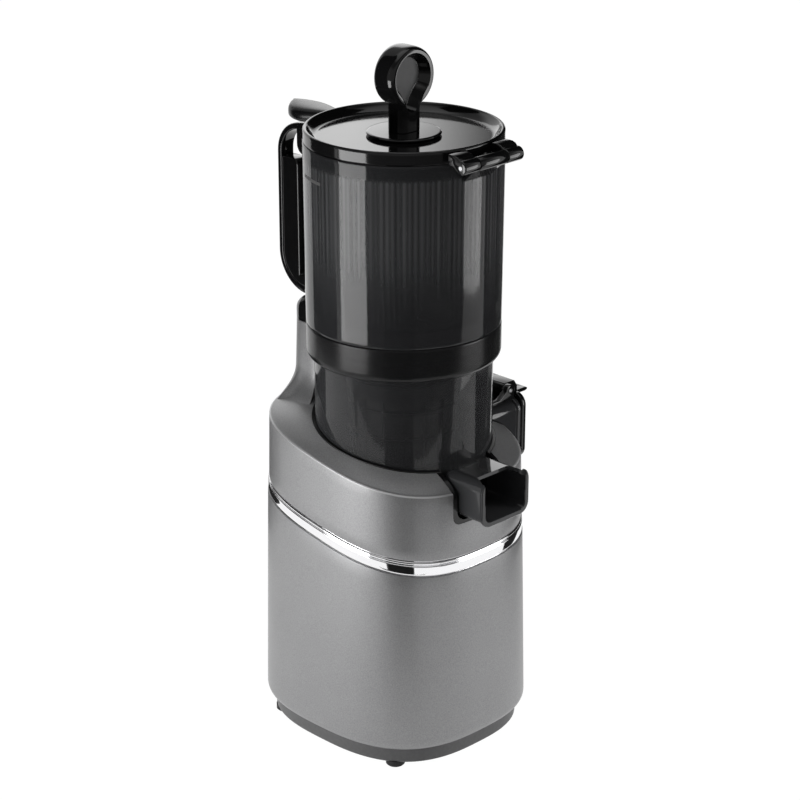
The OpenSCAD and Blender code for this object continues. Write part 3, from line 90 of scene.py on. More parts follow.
class Shading:
    """Nodes of one tree, each made by the node method."""

    def __init__(self, tree):
        self.tree = tree

    def node(self, kind, out=0, settings=None, **values):
        node = self.tree.nodes.new("ShaderNode" + kind)
        for key, value in (settings or {}).items():
            if key == "stops":
                while len(node.color_ramp.elements) < len(value):
                    node.color_ramp.elements.new(1.0)
                for stop, (where, shade) in zip(node.color_ramp.elements, value):
                    stop.position = where
                    stop.color = (shade, shade, shade, 1)
            else:
                setattr(node, key, value)
        for key, value in values.items():
            name = key.replace("_", " ")
            slot = node.inputs[int(key[1:])] if key[1:].isdigit() else node.inputs[name]
            feed(self.tree, slot, value)
        if out is None:
            return [Link(self.tree, socket) for socket in node.outputs]
        return Link(self.tree, node.outputs[out])

    def eased(self, value, low, high, first, last):
        """A soft change from the first level to the last between two values."""
        return self.node(
            "MapRange", settings={"interpolation_type": "SMOOTHSTEP"},
            Value=value, From_Min=low, From_Max=high, To_Min=first, To_Max=last,
        )


class Finish(Shading):
    """One material round a Principled shader."""

    def __init__(self, name, **same):
        self.material = bpy.data.materials.new(name)
        self.material.use_nodes = True
        super().__init__(self.material.node_tree)
        self.shader = self.tree.nodes["Principled BSDF"]
        self.wear(**same)

    def wear(self, **values):
        for key, value in values.items():
            feed(self.tree, self.shader.inputs[key.replace("_", " ")], value)

    def place(self):
        """The piece's own coordinates."""
        return self.node("TexCoord", out="Object")

    def grain(self, size, detail=2.0):
        """Noise over the piece, size in millimetres."""
        return self.node("TexNoise", Vector=self.place(), Scale=1000.0 / size, Detail=detail)

    def relief(self, height, depth):
        """Raises the surface by height times depth, in millimetres."""
        self.wear(Normal=self.node("Bump", Height=height, Strength=1.0, Distance=depth * 0.001))

    def shades(self, share, first, second):
        """The finish's colour, between two colours by a share."""
        colour = self.node(
            "Mix", out=2, settings={"data_type": "RGBA"}, i0=share,
            i6=first if isinstance(first, Link) else (*first, 1), i7=(*second, 1),
        )
        self.wear(Base_Color=colour)
        return colour


def soften(piece, angle=32):
    """Smooth shading with creases kept above an angle."""
    piece.data.shade_smooth()
    piece.data.set_sharp_from_angle(angle=math.radians(angle))


def dress(finish, *names):
    """Gives CAD nodes their finish and smooth curved faces."""
    for name in names:
        node = made[name]
        node.data.materials.clear()
        node.data.materials.append(finish.material)
        node.data.shade_smooth()


rubber = Finish("foot_rubber", Roughness=0.72)
rubber.shades(rubber.grain(3), (0.012, 0.012, 0.012), (0.026, 0.026, 0.027))
rubber.relief(rubber.grain(0.7), 0.06)
dress(rubber, "foot_pads")

# Plinth under the body.
# A dark grey moulded plate with a fine spark texture, set in behind the housing. It closes the
# body from below, has two rows of air slots, and screws up into the housing's posts.


BODY_HALF_W, BODY_HALF_D, BODY_MIDDLE, SQUARENESS = 84.4, 92.9, 9, 2.74
ROUND_STEPS = 240


def outline(half_w, half_d, middle, squareness=SQUARENESS, steps=ROUND_STEPS):
    """Plan outline with rounded corners, in millimetres, at even turns about its middle."""
    points = []
    for i in range(steps):
        turn = math.tau * i / steps
        across = abs(math.cos(turn)) / half_w
        along = abs(math.sin(turn)) / half_d
        reach = (across**squareness + along**squareness) ** (-1 / squareness)
        points.append((reach * math.cos(turn), middle + reach * math.sin(turn)))
    return points


def body_ring(inset, height, slant=0.0):
    """The body's outline drawn in by an inset, on a plane that rises towards the back."""
    plan = outline(BODY_HALF_W - inset, BODY_HALF_D - inset, BODY_MIDDLE)
    return [(x, y, height + slant * y) for x, y in plan]


def piece_of(name, points, faces):
    """A new object from points in millimetres."""
    mesh = bpy.data.meshes.new(name)
    mesh.from_pydata([(x * 0.001, y * 0.001, z * 0.001) for x, y, z in points], [], faces)
    mesh.validate()
    piece = bpy.data.objects.new(name, mesh)
    bpy.context.scene.collection.objects.link(piece)
    return piece


def outward(piece):
    """Turns all faces to the outside."""
    mesh = bmesh.new()
    mesh.from_mesh(piece.data)
    bmesh.ops.remove_doubles(mesh, verts=mesh.verts, dist=1e-7)
    bmesh.ops.recalc_face_normals(mesh, faces=mesh.faces)
    mesh.to_mesh(piece.data)
    mesh.free()


def skin(name, rings, closed=False):
    """A solid skin through rings of equally many points. Closed joins the last ring to the first."""
    count = len(rings[0])
    points = [p for ring in rings for p in ring]
    faces = []
    for j in range(len(rings) if closed else len(rings) - 1):
        a, b = j * count, (j + 1) % len(rings) * count
        for i in range(count):
            k = (i + 1) % count
            faces.append((a + i, a + k, b + k, b + i))
    if not closed:
        faces.append(tuple(reversed(range(count))))
        faces.append(tuple(range((len(rings) - 1) * count, len(rings) * count)))
    piece = piece_of(name, points, faces)
    outward(piece)
    soften(piece)
    return piece


def settle(piece):
    """Applies the piece's modifiers to its mesh."""
    bpy.context.view_layer.update()
    seen = piece.evaluated_get(bpy.context.evaluated_depsgraph_get())
    mesh = bpy.data.meshes.new_from_object(seen)
    piece.modifiers.clear()
    piece.data = mesh


def carve(piece, tool, operation="DIFFERENCE"):
    """Cuts, joins or keeps what is common with another piece, which is then gone."""
    change = piece.modifiers.new("carve", "BOOLEAN")
    change.operation = operation
    change.object = tool
    change.solver = "EXACT"
    settle(piece)
    bpy.data.objects.remove(tool)


def round_edges(piece, width, angle=40, steps=3):
    """Rounds the edges sharper than an angle, width in millimetres."""
    change = piece.modifiers.new("round", "BEVEL")
    change.width = width * 0.001
    change.segments = steps
    change.limit_method = "ANGLE"
    change.angle_limit = math.radians(angle)
    settle(piece)


def block(name, low, high):
    """A plain box between two corners, for cutting."""
    return skin(name, [
        [(low[0], low[1], z), (high[0], low[1], z), (high[0], high[1], z), (low[0], high[1], z)]
        for z in (low[2], high[2])
    ])


def fit(piece, finish, body, slot, *stands_for):
    """Gives a piece its finish and its body, and hides the CAD nodes that it stands for. The slot is not
    used.
    """
    piece.data.materials.clear()
    piece.data.materials.append(finish.material)
    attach(piece, body)
    if stands_for:
        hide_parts(*stands_for)


plinth_rings = [
    body_ring(8 - 2 * math.sin(turn), 6 - 2 * math.cos(turn)) for turn in (0, 0.4, 0.8, 1.2, 1.57)
]
plinth_rings += [body_ring(5.8, 11), body_ring(5.6, 16.4), body_ring(8.6, 16.45), body_ring(8.6, 18)]
plinth = skin("plinth", plinth_rings)
slot_pitch, slot_row, slot_half_w, slot_half_l = 8, 34, 1.5, 17
for side in (-1, 1):
    for i in range(7):
        x = (i - 3) * slot_pitch
        y = BODY_MIDDLE + side * slot_row
        low, high = (x - slot_half_w, y - slot_half_l, 2), (x + slot_half_w, y + slot_half_l, 20)
        carve(plinth, block("slot", low, high))
soften(plinth)
plinth_grey = Finish("plinth_grain", Roughness=0.5)
plinth_grey.shades(plinth_grey.grain(2.5), (0.13, 0.13, 0.132), (0.18, 0.18, 0.183))
plinth_grey.relief(plinth_grey.grain(0.6, 3), 0.05)
fit(plinth, plinth_grey, "base", "plinth_grey", "base_plate")

# Screws and pins.
# Bright zinc-plated screws with hexagon sockets under the plinth, in the gearbox and in the handle,
# turned steel pins in both hinges, and the output shaft. A faint turning grain dulls them.

steel = Finish("bright_steel", Metallic=1.0, Base_Color=(0.62, 0.62, 0.63, 1))
steel.wear(Roughness=0.22 + 0.16 * steel.grain(1.5))
dress(
    steel, "base_screws", "gearbox_screws", "drive_shaft", "cap_pin", "lid_pin", "handle_screws",
    "handle_magnet", "auger_socket",
)

# Lower housing.
# The tall satin silver shell round the motor, moulded in one piece and sprayed with a fine
# metallic lacquer. Its lower edge rolls in over the plinth, and its top meets the chrome band.

silver = Finish("silver_lacquer", Metallic=0.55)
flake = silver.grain(0.8, 2)
cloud = silver.grain(45, 2)
lacquer = silver.shades(0.85 * flake + 0.15 * cloud, (0.20, 0.20, 0.204), (0.47, 0.47, 0.476))
silver.wear(Roughness=0.40 + 0.1 * flake, Coat_Weight=0.18, Coat_Roughness=0.16)
silver.relief(silver.grain(0.5, 1), 0.006)

SLANT = 0.186
BAND_FOOT, UPPER_FOOT, CREASE = 167.5, 179.3, 228.35
lower_rings = []
for step in range(13):
    turn = math.pi / 2 * step / 12
    lower_rings.append(body_ring(4.8 * (1 - math.sin(turn)), 16.5 + 7.5 * (1 - math.cos(turn))))
for step in range(1, 13):
    share = step / 12
    lower_rings.append(body_ring(2.9 * share, 25 + share * 141.9, SLANT * share))
lower_rings += [
    body_ring(3.02, BAND_FOOT - 0.15, SLANT), body_ring(3.4, BAND_FOOT, SLANT),
    body_ring(5.5, BAND_FOOT, SLANT),
    body_ring(4.6, 60), body_ring(4.0, 26), body_ring(5.4, 20), body_ring(8.0, 16.5),
]
lower_body = skin("lower_body", lower_rings, closed=True)


def round_tool(name, radius, low, high, axis="Z", at=(0, 0), steps=96):
    """A cylinder for cutting, along X, Y or Z."""
    rings = []
    for level in (low, high):
        ring = []
        for i in range(steps):
            turn = math.tau * i / steps
            u, v = at[0] + radius * math.cos(turn), at[1] + radius * math.sin(turn)
            ring.append({"Z": (u, v, level), "Y": (u, level, v), "X": (level, u, v)}[axis])
        rings.append(ring)
    return skin(name, rings)


carve(lower_body, round_tool("selector_hole", 22.15, 80, 110, "Y", (0, 96)))
carve(lower_body, round_tool("gland_hole", 9.15, 80, 110, "Y", (0, 34)))
soften(lower_body)
fit(lower_body, silver, "base", "body_silver", "lower_housing")

# Chrome band.
# A bright plated strip set in the joint of the two housings, with a thin bead above, a fine
# groove and a wide flat strip below. It follows the slant of the joint all the way round.

chrome = Finish("bright_chrome", Metallic=1.0, Base_Color=(0.9, 0.9, 0.91, 1))
chrome.wear(Roughness=0.035 + 0.03 * chrome.grain(9))

band_profile = [
    (6.0, 0.0), (4.7, 0.0), (4.1, 0.12), (3.9, 0.45), (4.1, 0.8), (4.65, 0.95), (4.65, 1.15), (3.8, 1.25),
    (3.45, 1.45), (3.32, 1.8), (3.3, 2.1), (3.3, 4.9), (3.3, 7.4), (3.32, 7.7), (3.45, 8.0), (3.8, 8.2),
    (4.7, 8.3), (4.7, 8.7), (4.05, 8.95), (3.65, 9.4), (3.5, 10.0), (3.65, 10.6), (4.1, 11.05), (4.75, 11.2),
    (4.75, 11.7), (6.0, 11.75),
]
band_rings = [body_ring(inset, BAND_FOOT + up, SLANT) for inset, up in band_profile]
band = skin("chrome_band", band_rings, closed=True)
soften(band, 40)
fit(band, chrome, "base", "chrome_trim", "trim_ring")

# Upper housing.
# The same silver lacquer over a collar-like shell. Its side rises to a rolled crease, where a thin bright
# line is painted into the lacquer's colour as a highlight, and a sloping shoulder runs in to the well's rim.
# Two notches take the black saddles.

# Painted highlight: a thin band just under the crease lightens the lacquer nearly to white, standing in for
# light caught by the rolled edge.
_, y, z = silver.node("SeparateXYZ", out=None, Vector=silver.place())
above = (z - SLANT * y) * 1000 - CREASE
painted_crease_highlight = silver.eased(above, -1.3, -0.7, 0.0, 1.0) * silver.eased(above, -0.25, 0.1, 1.0, 0.0)
silver.shades(0.8 * painted_crease_highlight, lacquer, (0.9, 0.9, 0.91))

well_radius = 67.05
well_top = 236.1


def side_inset(level):
    """How far the side is drawn in, from the band to the crease."""
    return 3.9 + 0.9 * (level - UPPER_FOOT) / (CREASE - UPPER_FOOT)


side_foot, side_h, crease_round = UPPER_FOOT + 0.5, 47.2, 1.3
upper_rings = [body_ring(4.5, UPPER_FOOT, SLANT), body_ring(4.05, UPPER_FOOT + 0.15, SLANT)]
upper_rings.append(body_ring(3.92, side_foot, SLANT))
for step in range(1, 7):
    level = side_foot + side_h * step / 6
    upper_rings.append(body_ring(side_inset(level), level, SLANT))
for step in range(1, 8):
    turn = math.pi / 2 * step / 8
    inset = side_inset(CREASE) + crease_round * (1 - math.cos(turn))
    upper_rings.append(body_ring(inset, CREASE - crease_round * (1 - math.sin(turn)), SLANT))
crease_ring = body_ring(side_inset(CREASE) + crease_round, CREASE, SLANT)
rim_ring = []
for i in range(ROUND_STEPS):
    turn = math.tau * i / ROUND_STEPS
    rim_ring.append((well_radius * math.cos(turn), well_radius * math.sin(turn)))
for step in range(13):
    share = step / 12
    crown = 0.4 * math.sin(math.pi * share)
    upper_rings.append([
        (
            x + (u - x) * share,
            y + (v - y) * share,
            CREASE + (well_top - CREASE) * share + crown + SLANT * (y + (v - y) * share),
        )
        for (x, y, z), (u, v) in zip(crease_ring, rim_ring)
    ])
upper_rings.append([(u, v, well_top - 1 + SLANT * v) for u, v in rim_ring])
upper_rings.append([(u, v, 188.0) for u, v in rim_ring])
upper_rings += [body_ring(9.0, 214), body_ring(6.3, 182, SLANT)]


def notch_outline(half_w, low, high, corner, steps=8):
    """Upright rectangle from low to high with rounded lower corners, as points across and up."""
    points = [(half_w, high), (-half_w, high)]
    for centre, start in ((-half_w + corner, math.pi), (half_w - corner, 1.5 * math.pi)):
        for i in range(steps + 1):
            turn = start + math.pi / 2 * i / steps
            points.append((centre + corner * math.cos(turn), low + corner + corner * math.sin(turn)))
    return points


def pushed(name, points, near, far, towards):
    """A flat outline pushed out along +X or along -Y."""
    if towards == "X":
        return skin(name, [[(out, a, u) for a, u in points] for out in (near, far)])
    return skin(name, [[(a, -out, u) for a, u in points] for out in (near, far)])


upper_body = skin("upper_body", upper_rings, closed=True)
for towards, low in (("X", 188.0), ("Y", 189.3)):
    carve(upper_body, pushed("notch", notch_outline(28.15, low - 0.15, 300, 6), 60, 120, towards))
soften(upper_body)
fit(upper_body, silver, "base", "body_silver", "upper_housing")

# Neck.
# Part of the upper housing's moulding. It runs out of the shoulder and the back of the side in a
# hollow sweep, stands up behind the hopper's collar, and ends in a thin rim round the black cap.

neck_middle, neck_half_w, neck_half_d = 75.7, 25.4, 17.7
neck_top, neck_cap_top, flare_top = 302.75, 319.7, 268.5
neck_squareness = 3.6
crease_half_w, crease_half_d = BODY_HALF_W - 5.3, BODY_HALF_D - 5.3
collar_way = 70.5
flare_reach, flare_grow = 21, 0.9
shoulder_rise, shoulder_sunk, side_drop = 7.75, 0.5, 3.5
cap_half_h, cap_draw = 8.5, 7.6


def neck_ring(grow, level, steps=160):
    """The neck's outline at even turns, grown by an amount."""
    plan = outline(neck_half_w + grow, neck_half_d + grow, neck_middle, neck_squareness, steps)
    return [(x, y, level) for x, y in plan]


def flare_ring(share):
    """One ring of the sweep, from its foot at 0 to the neck's wall at 1."""
    ring = []
    for x, y, level in neck_ring(flare_grow, flare_top):
        behind = y - neck_middle
        gx = math.copysign(abs(x / neck_half_w) ** (neck_squareness - 1), x) / neck_half_w
        gy = math.copysign(abs(behind / neck_half_d) ** (neck_squareness - 1), behind) / neck_half_d
        length = math.hypot(gx, gy)
        far_x, far_y = x + flare_reach * gx / length, y + flare_reach * gy / length
        across, along = abs(far_x / crease_half_w), abs((far_y - BODY_MIDDLE) / crease_half_d)
        reach = (across**SQUARENESS + along**SQUARENESS) ** (1 / SQUARENESS)
        t = max(0.0, min(1.0, 10 * (reach - 0.9)))
        on_side = t * t * (3 - 2 * t)
        foot_x = far_x / max(1, reach)
        foot_y = BODY_MIDDLE + (far_y - BODY_MIDDLE) / max(1, reach)
        shoulder = shoulder_rise * max(0.0, min(1.0, 3 * (1 - reach))) - shoulder_sunk
        foot_z = CREASE + SLANT * foot_y + (1 - on_side) * shoulder - on_side * side_drop
        rise = flare_top - foot_z
        back = (1 - on_side) * 0.55
        low = (foot_x + back * (x - foot_x), foot_y + back * (y - foot_y), foot_z + on_side * 0.2 * rise)
        curve = ((foot_x, foot_y, foot_z), low, (x, y, flare_top - 0.5 * rise), (x, y, flare_top))
        weights = ((1 - share) ** 3, 3 * (1 - share) ** 2 * share, 3 * (1 - share) * share**2, share**3)
        ring.append(tuple(sum(w * p[axis] for w, p in zip(weights, curve)) for axis in range(3)))
    return ring


def cap_form(name, inset, low):
    """The rounded form of the neck's top, drawn in all round."""
    rings = [neck_ring(-inset, low), neck_ring(-inset, neck_top + cap_half_h)]
    for degrees in range(8, 88, 8):
        turn = math.radians(degrees)
        level = neck_top + cap_half_h * (1 + math.sin(turn))
        rings.append(neck_ring(-inset - cap_draw * (1 - math.cos(turn)), level))
    return skin(name, rings)


foot = flare_ring(0)
neck_rings = [[(x * 0.97, BODY_MIDDLE + (y - BODY_MIDDLE) * 0.97, 215.0) for x, y, z in foot]]
neck_rings += [flare_ring(step / 24) for step in range(25)]
for share in (0.25, 0.5, 0.75, 1.0):
    level = flare_top + (neck_top - 0.4 - flare_top) * share
    neck_rings.append(neck_ring(flare_grow * (1 - share), level))
neck_rings.append(neck_ring(-0.35, neck_top))
neck = skin("neck", neck_rings)
carve(neck, round_tool("collar_way", collar_way, 200, 330, steps=ROUND_STEPS))
soften(neck)
fit(neck, silver, "base", "body_silver")

rim = cap_form("neck_rim", 0, neck_top - 0.5)
carve(rim, cap_form("core", 1.8, neck_top - 5))
carve(rim, block("keep", (-40, 84.4, 300), (40, 110, neck_cap_top - 1.2)), "INTERSECT")
soften(rim)
fit(rim, silver, "base", "body_silver")

# Black cap on the neck.
# A gloss black cover with a rounded top under the handle's foot. It snaps on the neck with a fine
# joint, and hides the switch that feels the handle's magnet.

gloss = Finish("polished_black", Specular_IOR_Level=0.5)
gloss.shades(gloss.grain(30), (0.008, 0.008, 0.0085), (0.013, 0.013, 0.0135))
gloss.wear(Roughness=0.06 + 0.06 * gloss.grain(14, 3))
gloss.relief(gloss.grain(22, 1), 0.02)

neck_cap = cap_form("neck_cap_shell", 0.3, neck_top + 0.3)
carve(neck_cap, round_tool("collar_way", collar_way, 290, 330, steps=ROUND_STEPS))
soften(neck_cap, 40)
fit(neck_cap, gloss, "base", "gloss_black", "neck_cap")

# Well liner and saddles.
# The black cup that the bowl stands in, and the two gloss black saddles that fill the notches of
# the silver shell round the outlets, flush with its skin.

satin = Finish("satin_black", Roughness=0.42)
satin.shades(satin.grain(12), (0.010, 0.010, 0.0105), (0.018, 0.018, 0.0185))
satin.relief(satin.grain(0.8, 2), 0.03)
dress(satin, "well_liner")

for name, towards, low, way_half, way_low in (
    ("front_saddle", "Y", 189.3, 24.7, 191.8), ("side_saddle", "X", 188.0, 23.7, 190.5),
):
    saddle = skin(name + "_skin", upper_rings, closed=True)
    carve(saddle, pushed("core", notch_outline(28, low, 300, 6), 60, 120, towards), "INTERSECT")
    carve(saddle, pushed("way", notch_outline(way_half, way_low, 300, 7.5), 50, 130, towards))
    carve(saddle, round_tool("bore", well_radius + 0.01, 180, 260, steps=ROUND_STEPS))
    soften(saddle)
    fit(saddle, gloss, "base", "gloss_black", name)

# Machinery inside the body.
# Cast gearbox, motor can, control board and rotary switch. They are out of sight unless the body
# is looked into from below, and keep their CAD forms.

cast = Finish("cast_aluminium", Metallic=1.0, Base_Color=(0.42, 0.42, 0.43, 1))
cast.wear(Roughness=0.45 + 0.2 * cast.grain(2))
cast.relief(cast.grain(1.2, 4), 0.12)
dress(cast, "gearbox")
can = Finish("motor_enamel", Roughness=0.4)
can.shades(can.grain(20), (0.05, 0.052, 0.055), (0.075, 0.078, 0.08))
dress(can, "motor")
board = Finish("coated_board", Roughness=0.35)
board.shades(board.grain(5, 4), (0.012, 0.06, 0.022), (0.03, 0.12, 0.05))
dress(board, "control_board", "reed_switch")
dress(satin, "selector_switch")
dress(rubber, "cord_gland", "shaft_seal")

# Selector on the back.
# A gloss black turning knob with a grip bar, in a bright ring let into the housing.

dress(chrome, "selector_bezel")
dress(gloss, "selector_knob")

# Juicing bowl.
# One moulding in smoke-tinted clear plastic: a deep cup with a square pulp chute at the front and
# the juice spout at the side. Both outlets end in a thin raised lip, and the chute's top is cut back.


class Smoke(Finish):
    """Clear plastic with a smoke tint: thin seen square on, and thicker towards its outline."""

    def __init__(self, name, thin, thick, power, roughness=0.04):
        super().__init__(name, Specular_IOR_Level=0.5)
        facing = self.node("LayerWeight", out="Facing", Blend=0.5)
        self.cover = thin + (thick - thin) * facing**power
        self.wear(Alpha=self.cover, Roughness=roughness + 0.03 * self.grain(25))

    def tinted(self, tint):
        """A tint that varies softly over the piece."""
        self.shades(self.grain(60), [0.85 * t for t in tint], tint)


bowl_smoke = Smoke("bowl_smoke", 0.50, 0.95, 2.0)
bowl_smoke.tinted((0.060, 0.061, 0.064))
x, y, _ = bowl_smoke.node("SeparateXYZ", out=None, Vector=bowl_smoke.place())
in_tube = bowl_smoke.eased((x * x + y * y) ** 0.5, 0.0655, 0.0690, 0.0, 1.0)
bowl_smoke.wear(Alpha=bowl_smoke.cover + (0.985 - bowl_smoke.cover) * in_tube)


def turned(profile, steps=192):
    """Rings of a profile of radius and height, turned about the auger's axis."""
    turns = [math.tau * i / steps for i in range(steps)]
    return [
        [(max(radius, 0.001) * math.cos(t), max(radius, 0.001) * math.sin(t), level) for t in turns]
        for radius, level in profile
    ]


def box_section(half_w, low, high, corner, steps=8):
    """Rectangle with four rounded corners, as points across and up."""
    points = []
    for a, u, start in (
        (half_w - corner, high - corner, 0), (-half_w + corner, high - corner, 0.5),
        (-half_w + corner, low + corner, 1.0), (half_w - corner, low + corner, 1.5),
    ):
        for i in range(steps + 1):
            turn = math.pi * start + math.pi / 2 * i / steps
            points.append((a + corner * math.cos(turn), u + corner * math.sin(turn)))
    return points


def square_tube(name, half_w, low, high, corner, stations, towards):
    """A square tube's solid along stations of how far out and how much wider."""
    rings = []
    for out, more in stations:
        section = box_section(half_w + more, low - more, high + more, corner + more)
        rings.append([(out, a, u) if towards == "X" else (a, -out, u) for a, u in section])
    return skin(name, rings)


bowl = skin("bowl_cup", turned([
    (0, 184.4), (62.6, 184.4), (63.8, 184.9), (64.5, 186.2), (64.5, 188), (64.5, 302.9), (64.5, 303.9),
    (64.2, 304.3), (63.8, 304.4), (0, 304.4),
]))
lip, tube_wall = 1.4, 2.6
outlets = (("X", 190.9, 234.9, 101.0, 23.3), ("Y", 192.2, 227.2, 101.6, 24.3))
for towards, low, high, reach, half_w in outlets:
    stations = (
        (39, 0), (reach - 3.4, 0), (reach - 3, 0.5), (reach - 2.6, 1.1), (reach - 1.8, 1.4),
        (reach - 0.5, 1.4), (reach, 0.9),
    )
    tube = square_tube("tube", half_w - lip, low + lip, high - lip, 7.6, stations, towards)
    carve(bowl, tube, "UNION")
carve(bowl, skin("hollow", turned([
    (8.45, 180), (8.45, 200.4), (13, 200.4), (13, 187.4), (60.9, 187.4), (61.6, 187.9), (61.9, 188.8),
    (61.9, 310), (58, 311), (58, 312), (8.45, 312), (8.45, 311),
])))
for towards, low, high, reach, half_w in outlets:
    stations = ((39, 0), (reach - 1.2, 0), (reach - 0.4, 0.4), (reach + 1, 1.0))
    edge = lip + tube_wall
    carve(bowl, square_tube("bore", half_w - edge, low + edge, high - edge, 5.0, stations, towards))
cut_plan = [(-22.5, -105), (22.5, -105), (21.5, -101.6), (15.3, -88), (-15.3, -88), (-21.5, -101.6)]
carve(bowl, skin("cut_back", [[(a, b, level) for a, b in cut_plan] for level in (210, 240)]))
soften(bowl, 35)
fit(bowl, bowl_smoke, "bowl", "tinted_bowl", "juicing_bowl")

# Juice cap and its hinge.
# The gloss black flap that closes the spout swings up on a steel pin between the two ears of a
# bracket, and has a short lever for the thumb. A grey silicone plug seals it.


def flat_bar(name, points, low, high, axis, edge=0.8, steps=3):
    """A flat outline given a thickness along an axis, with rounded edges."""
    rings = [[{"X": (level, a, b), "Y": (a, level, b)}[axis] for a, b in points] for level in (low, high)]
    piece = skin(name, rings)
    if edge:
        round_edges(piece, edge, steps=steps)
        soften(piece, 50)
    return piece


def barrel(name, at, radius, half, axis, steps=48):
    """A hinge barrel with rounded rims, across the middle."""
    rings = []
    for level, drawn in (
        (-half, 0.6), (-half + 0.2, 0.2), (-half + 0.6, 0), (half - 0.6, 0), (half - 0.2, 0.2), (half, 0.6),
    ):
        ring = []
        for i in range(steps):
            turn = math.tau * i / steps
            u, v = at[0] + (radius - drawn) * math.cos(turn), at[1] + (radius - drawn) * math.sin(turn)
            ring.append((level, u, v) if axis == "X" else (u, level, v))
        rings.append(ring)
    return skin(name, rings)


CAP_PIN = (94, 242.8)
cap_plate = flat_bar("juice_cap_plate", box_section(23.3, 185.5, 237.9, 9), 102.9, 107.3, "X", 1.1)
for extra in (
    barrel("knuckle", CAP_PIN, 4.4, 14, "Y"),
    flat_bar("arm", [
        (94, 247.2), (94, 243.3), (103.2, 240.3), (103.2, 227.3), (107.2, 227.3), (107.2, 242.3),
        (104, 247.2),
    ], -13.9, 13.9, "Y", 0.7),
    flat_bar("lever", [
        (106.5, 234.9), (123, 234.9), (125.3, 234.2), (125.3, 232.7), (123, 231.9), (106.5, 231.9),
    ], -8, 8, "Y", 0.8),
):
    carve(cap_plate, extra, "UNION")
carve(cap_plate, round_tool("pin_way", 1.6, -30, 30, "Y", CAP_PIN, 32))
soften(cap_plate, 38)
fit(cap_plate, gloss, "juice_cap", "gloss_black", "juice_cap")

bracket_foot = [(64.9, 235.05), (98, 235.05), (98, 237.6), (64.9, 237.6)]
bracket = flat_bar("spout_bracket", bracket_foot, -19, 19, "Y", 0.6)
for side in (-1, 1):
    near, far = sorted((side * 14.4, side * 19))
    ear_points = [(78.5, 235.1), (98.5, 235.1), (98.5, 242.8)]
    for i in range(13):
        turn = math.pi * i / 12
        ear_points.append((CAP_PIN[0] + 4.5 * math.cos(turn), CAP_PIN[1] + 4.5 * math.sin(turn)))
    carve(bracket, flat_bar("ear", ear_points, near, far, "Y", 0.7), "UNION")
carve(bracket, round_tool("pin_way", 1.6, -30, 30, "Y", CAP_PIN, 32))
soften(bracket, 38)
fit(bracket, gloss, "bowl", "gloss_black", "cap_bracket")

silicone = Finish("grey_silicone", Roughness=0.5)
silicone.shades(silicone.grain(8), (0.05, 0.05, 0.052), (0.08, 0.08, 0.083))
dress(silicone, "juice_cap_seal", "bowl_seal", "collar_gasket", "lid_gasket")

# Strainer.
# A dark moulded frame of rails, hoops and ribs that holds a cone of fine steel mesh round the
# auger. It is seen through the bowl's wall.

strainer = Finish("strainer_black", Roughness=0.3)
strainer.shades(strainer.grain(15), (0.014, 0.014, 0.0145), (0.024, 0.024, 0.025))
dress(strainer, "strainer_frame")
mesh_steel = Finish("fine_mesh", Metallic=0.85, Roughness=0.45)
holes = mesh_steel.node("TexVoronoi", Vector=mesh_steel.place(), Scale=900.0)
mesh_steel.shades(mesh_steel.eased(holes, 0.2, 0.45, 0.0, 1.0), (0.01, 0.01, 0.01), (0.09, 0.09, 0.09))
dress(mesh_steel, "strainer_mesh")

# Auger.
# The dark slow-turning screw that presses the fruit, one moulding with two flights in the strainer
# and a single coarse flight above it.

auger_black = Finish("auger_black", Roughness=0.28)
auger_black.shades(auger_black.grain(18), (0.016, 0.016, 0.017), (0.028, 0.028, 0.029))
dress(auger_black, "auger")

# Lock collar.
# A darker tinted ring that slips over the bowl's rim and carries the hopper, with a rounded lower
# edge and a throat that leads down to the strainer.

collar_smoke = Smoke("collar_smoke", 0.90, 0.98, 2.0, 0.20)
collar_smoke.tinted((0.018, 0.0185, 0.019))
collar_smoke.wear(Specular_IOR_Level=0.25)
collar_profile = [(38.7, 281.05), (41.1, 281.05), (41.1, 306.1), (64.9, 306.1), (64.9, 295.2)]
for step in range(9):
    turn = math.pi / 2 * step / 8
    collar_profile.append((70.1 - 4.4 * (1 - math.sin(turn)), 294 + 5.5 * (1 - math.cos(turn))))
collar_profile += [
    (70.1, 300.4), (70.1, 317.8), (70.1, 318.7), (69.85, 319.15), (69.5, 319.3), (66.7, 319.3), (66.7, 309.1),
    (41.1, 309.1), (41.1, 319.3), (38.7, 319.3),
]
collar = skin("collar_shell", turned(collar_profile), closed=True)
soften(collar, 40)
fit(collar, collar_smoke, "lock_ring", "tinted_collar", "lock_collar")

# Hopper.
# A wide smoke-tinted clear bin with a thick wall that has fine upright flutes on its inside, a
# funnel floor round the auger's throat, and the middle barrel of the lid's hinge at the front.

FLUTES, FLUTE_STEPS = 112, 8
HOPPER_FOOT, HOPPER_H = 319.6, 131.3


def hopper_radius(level):
    """The inner wall's radius at a height."""
    return 67.5 + (level - HOPPER_FOOT) / HOPPER_H


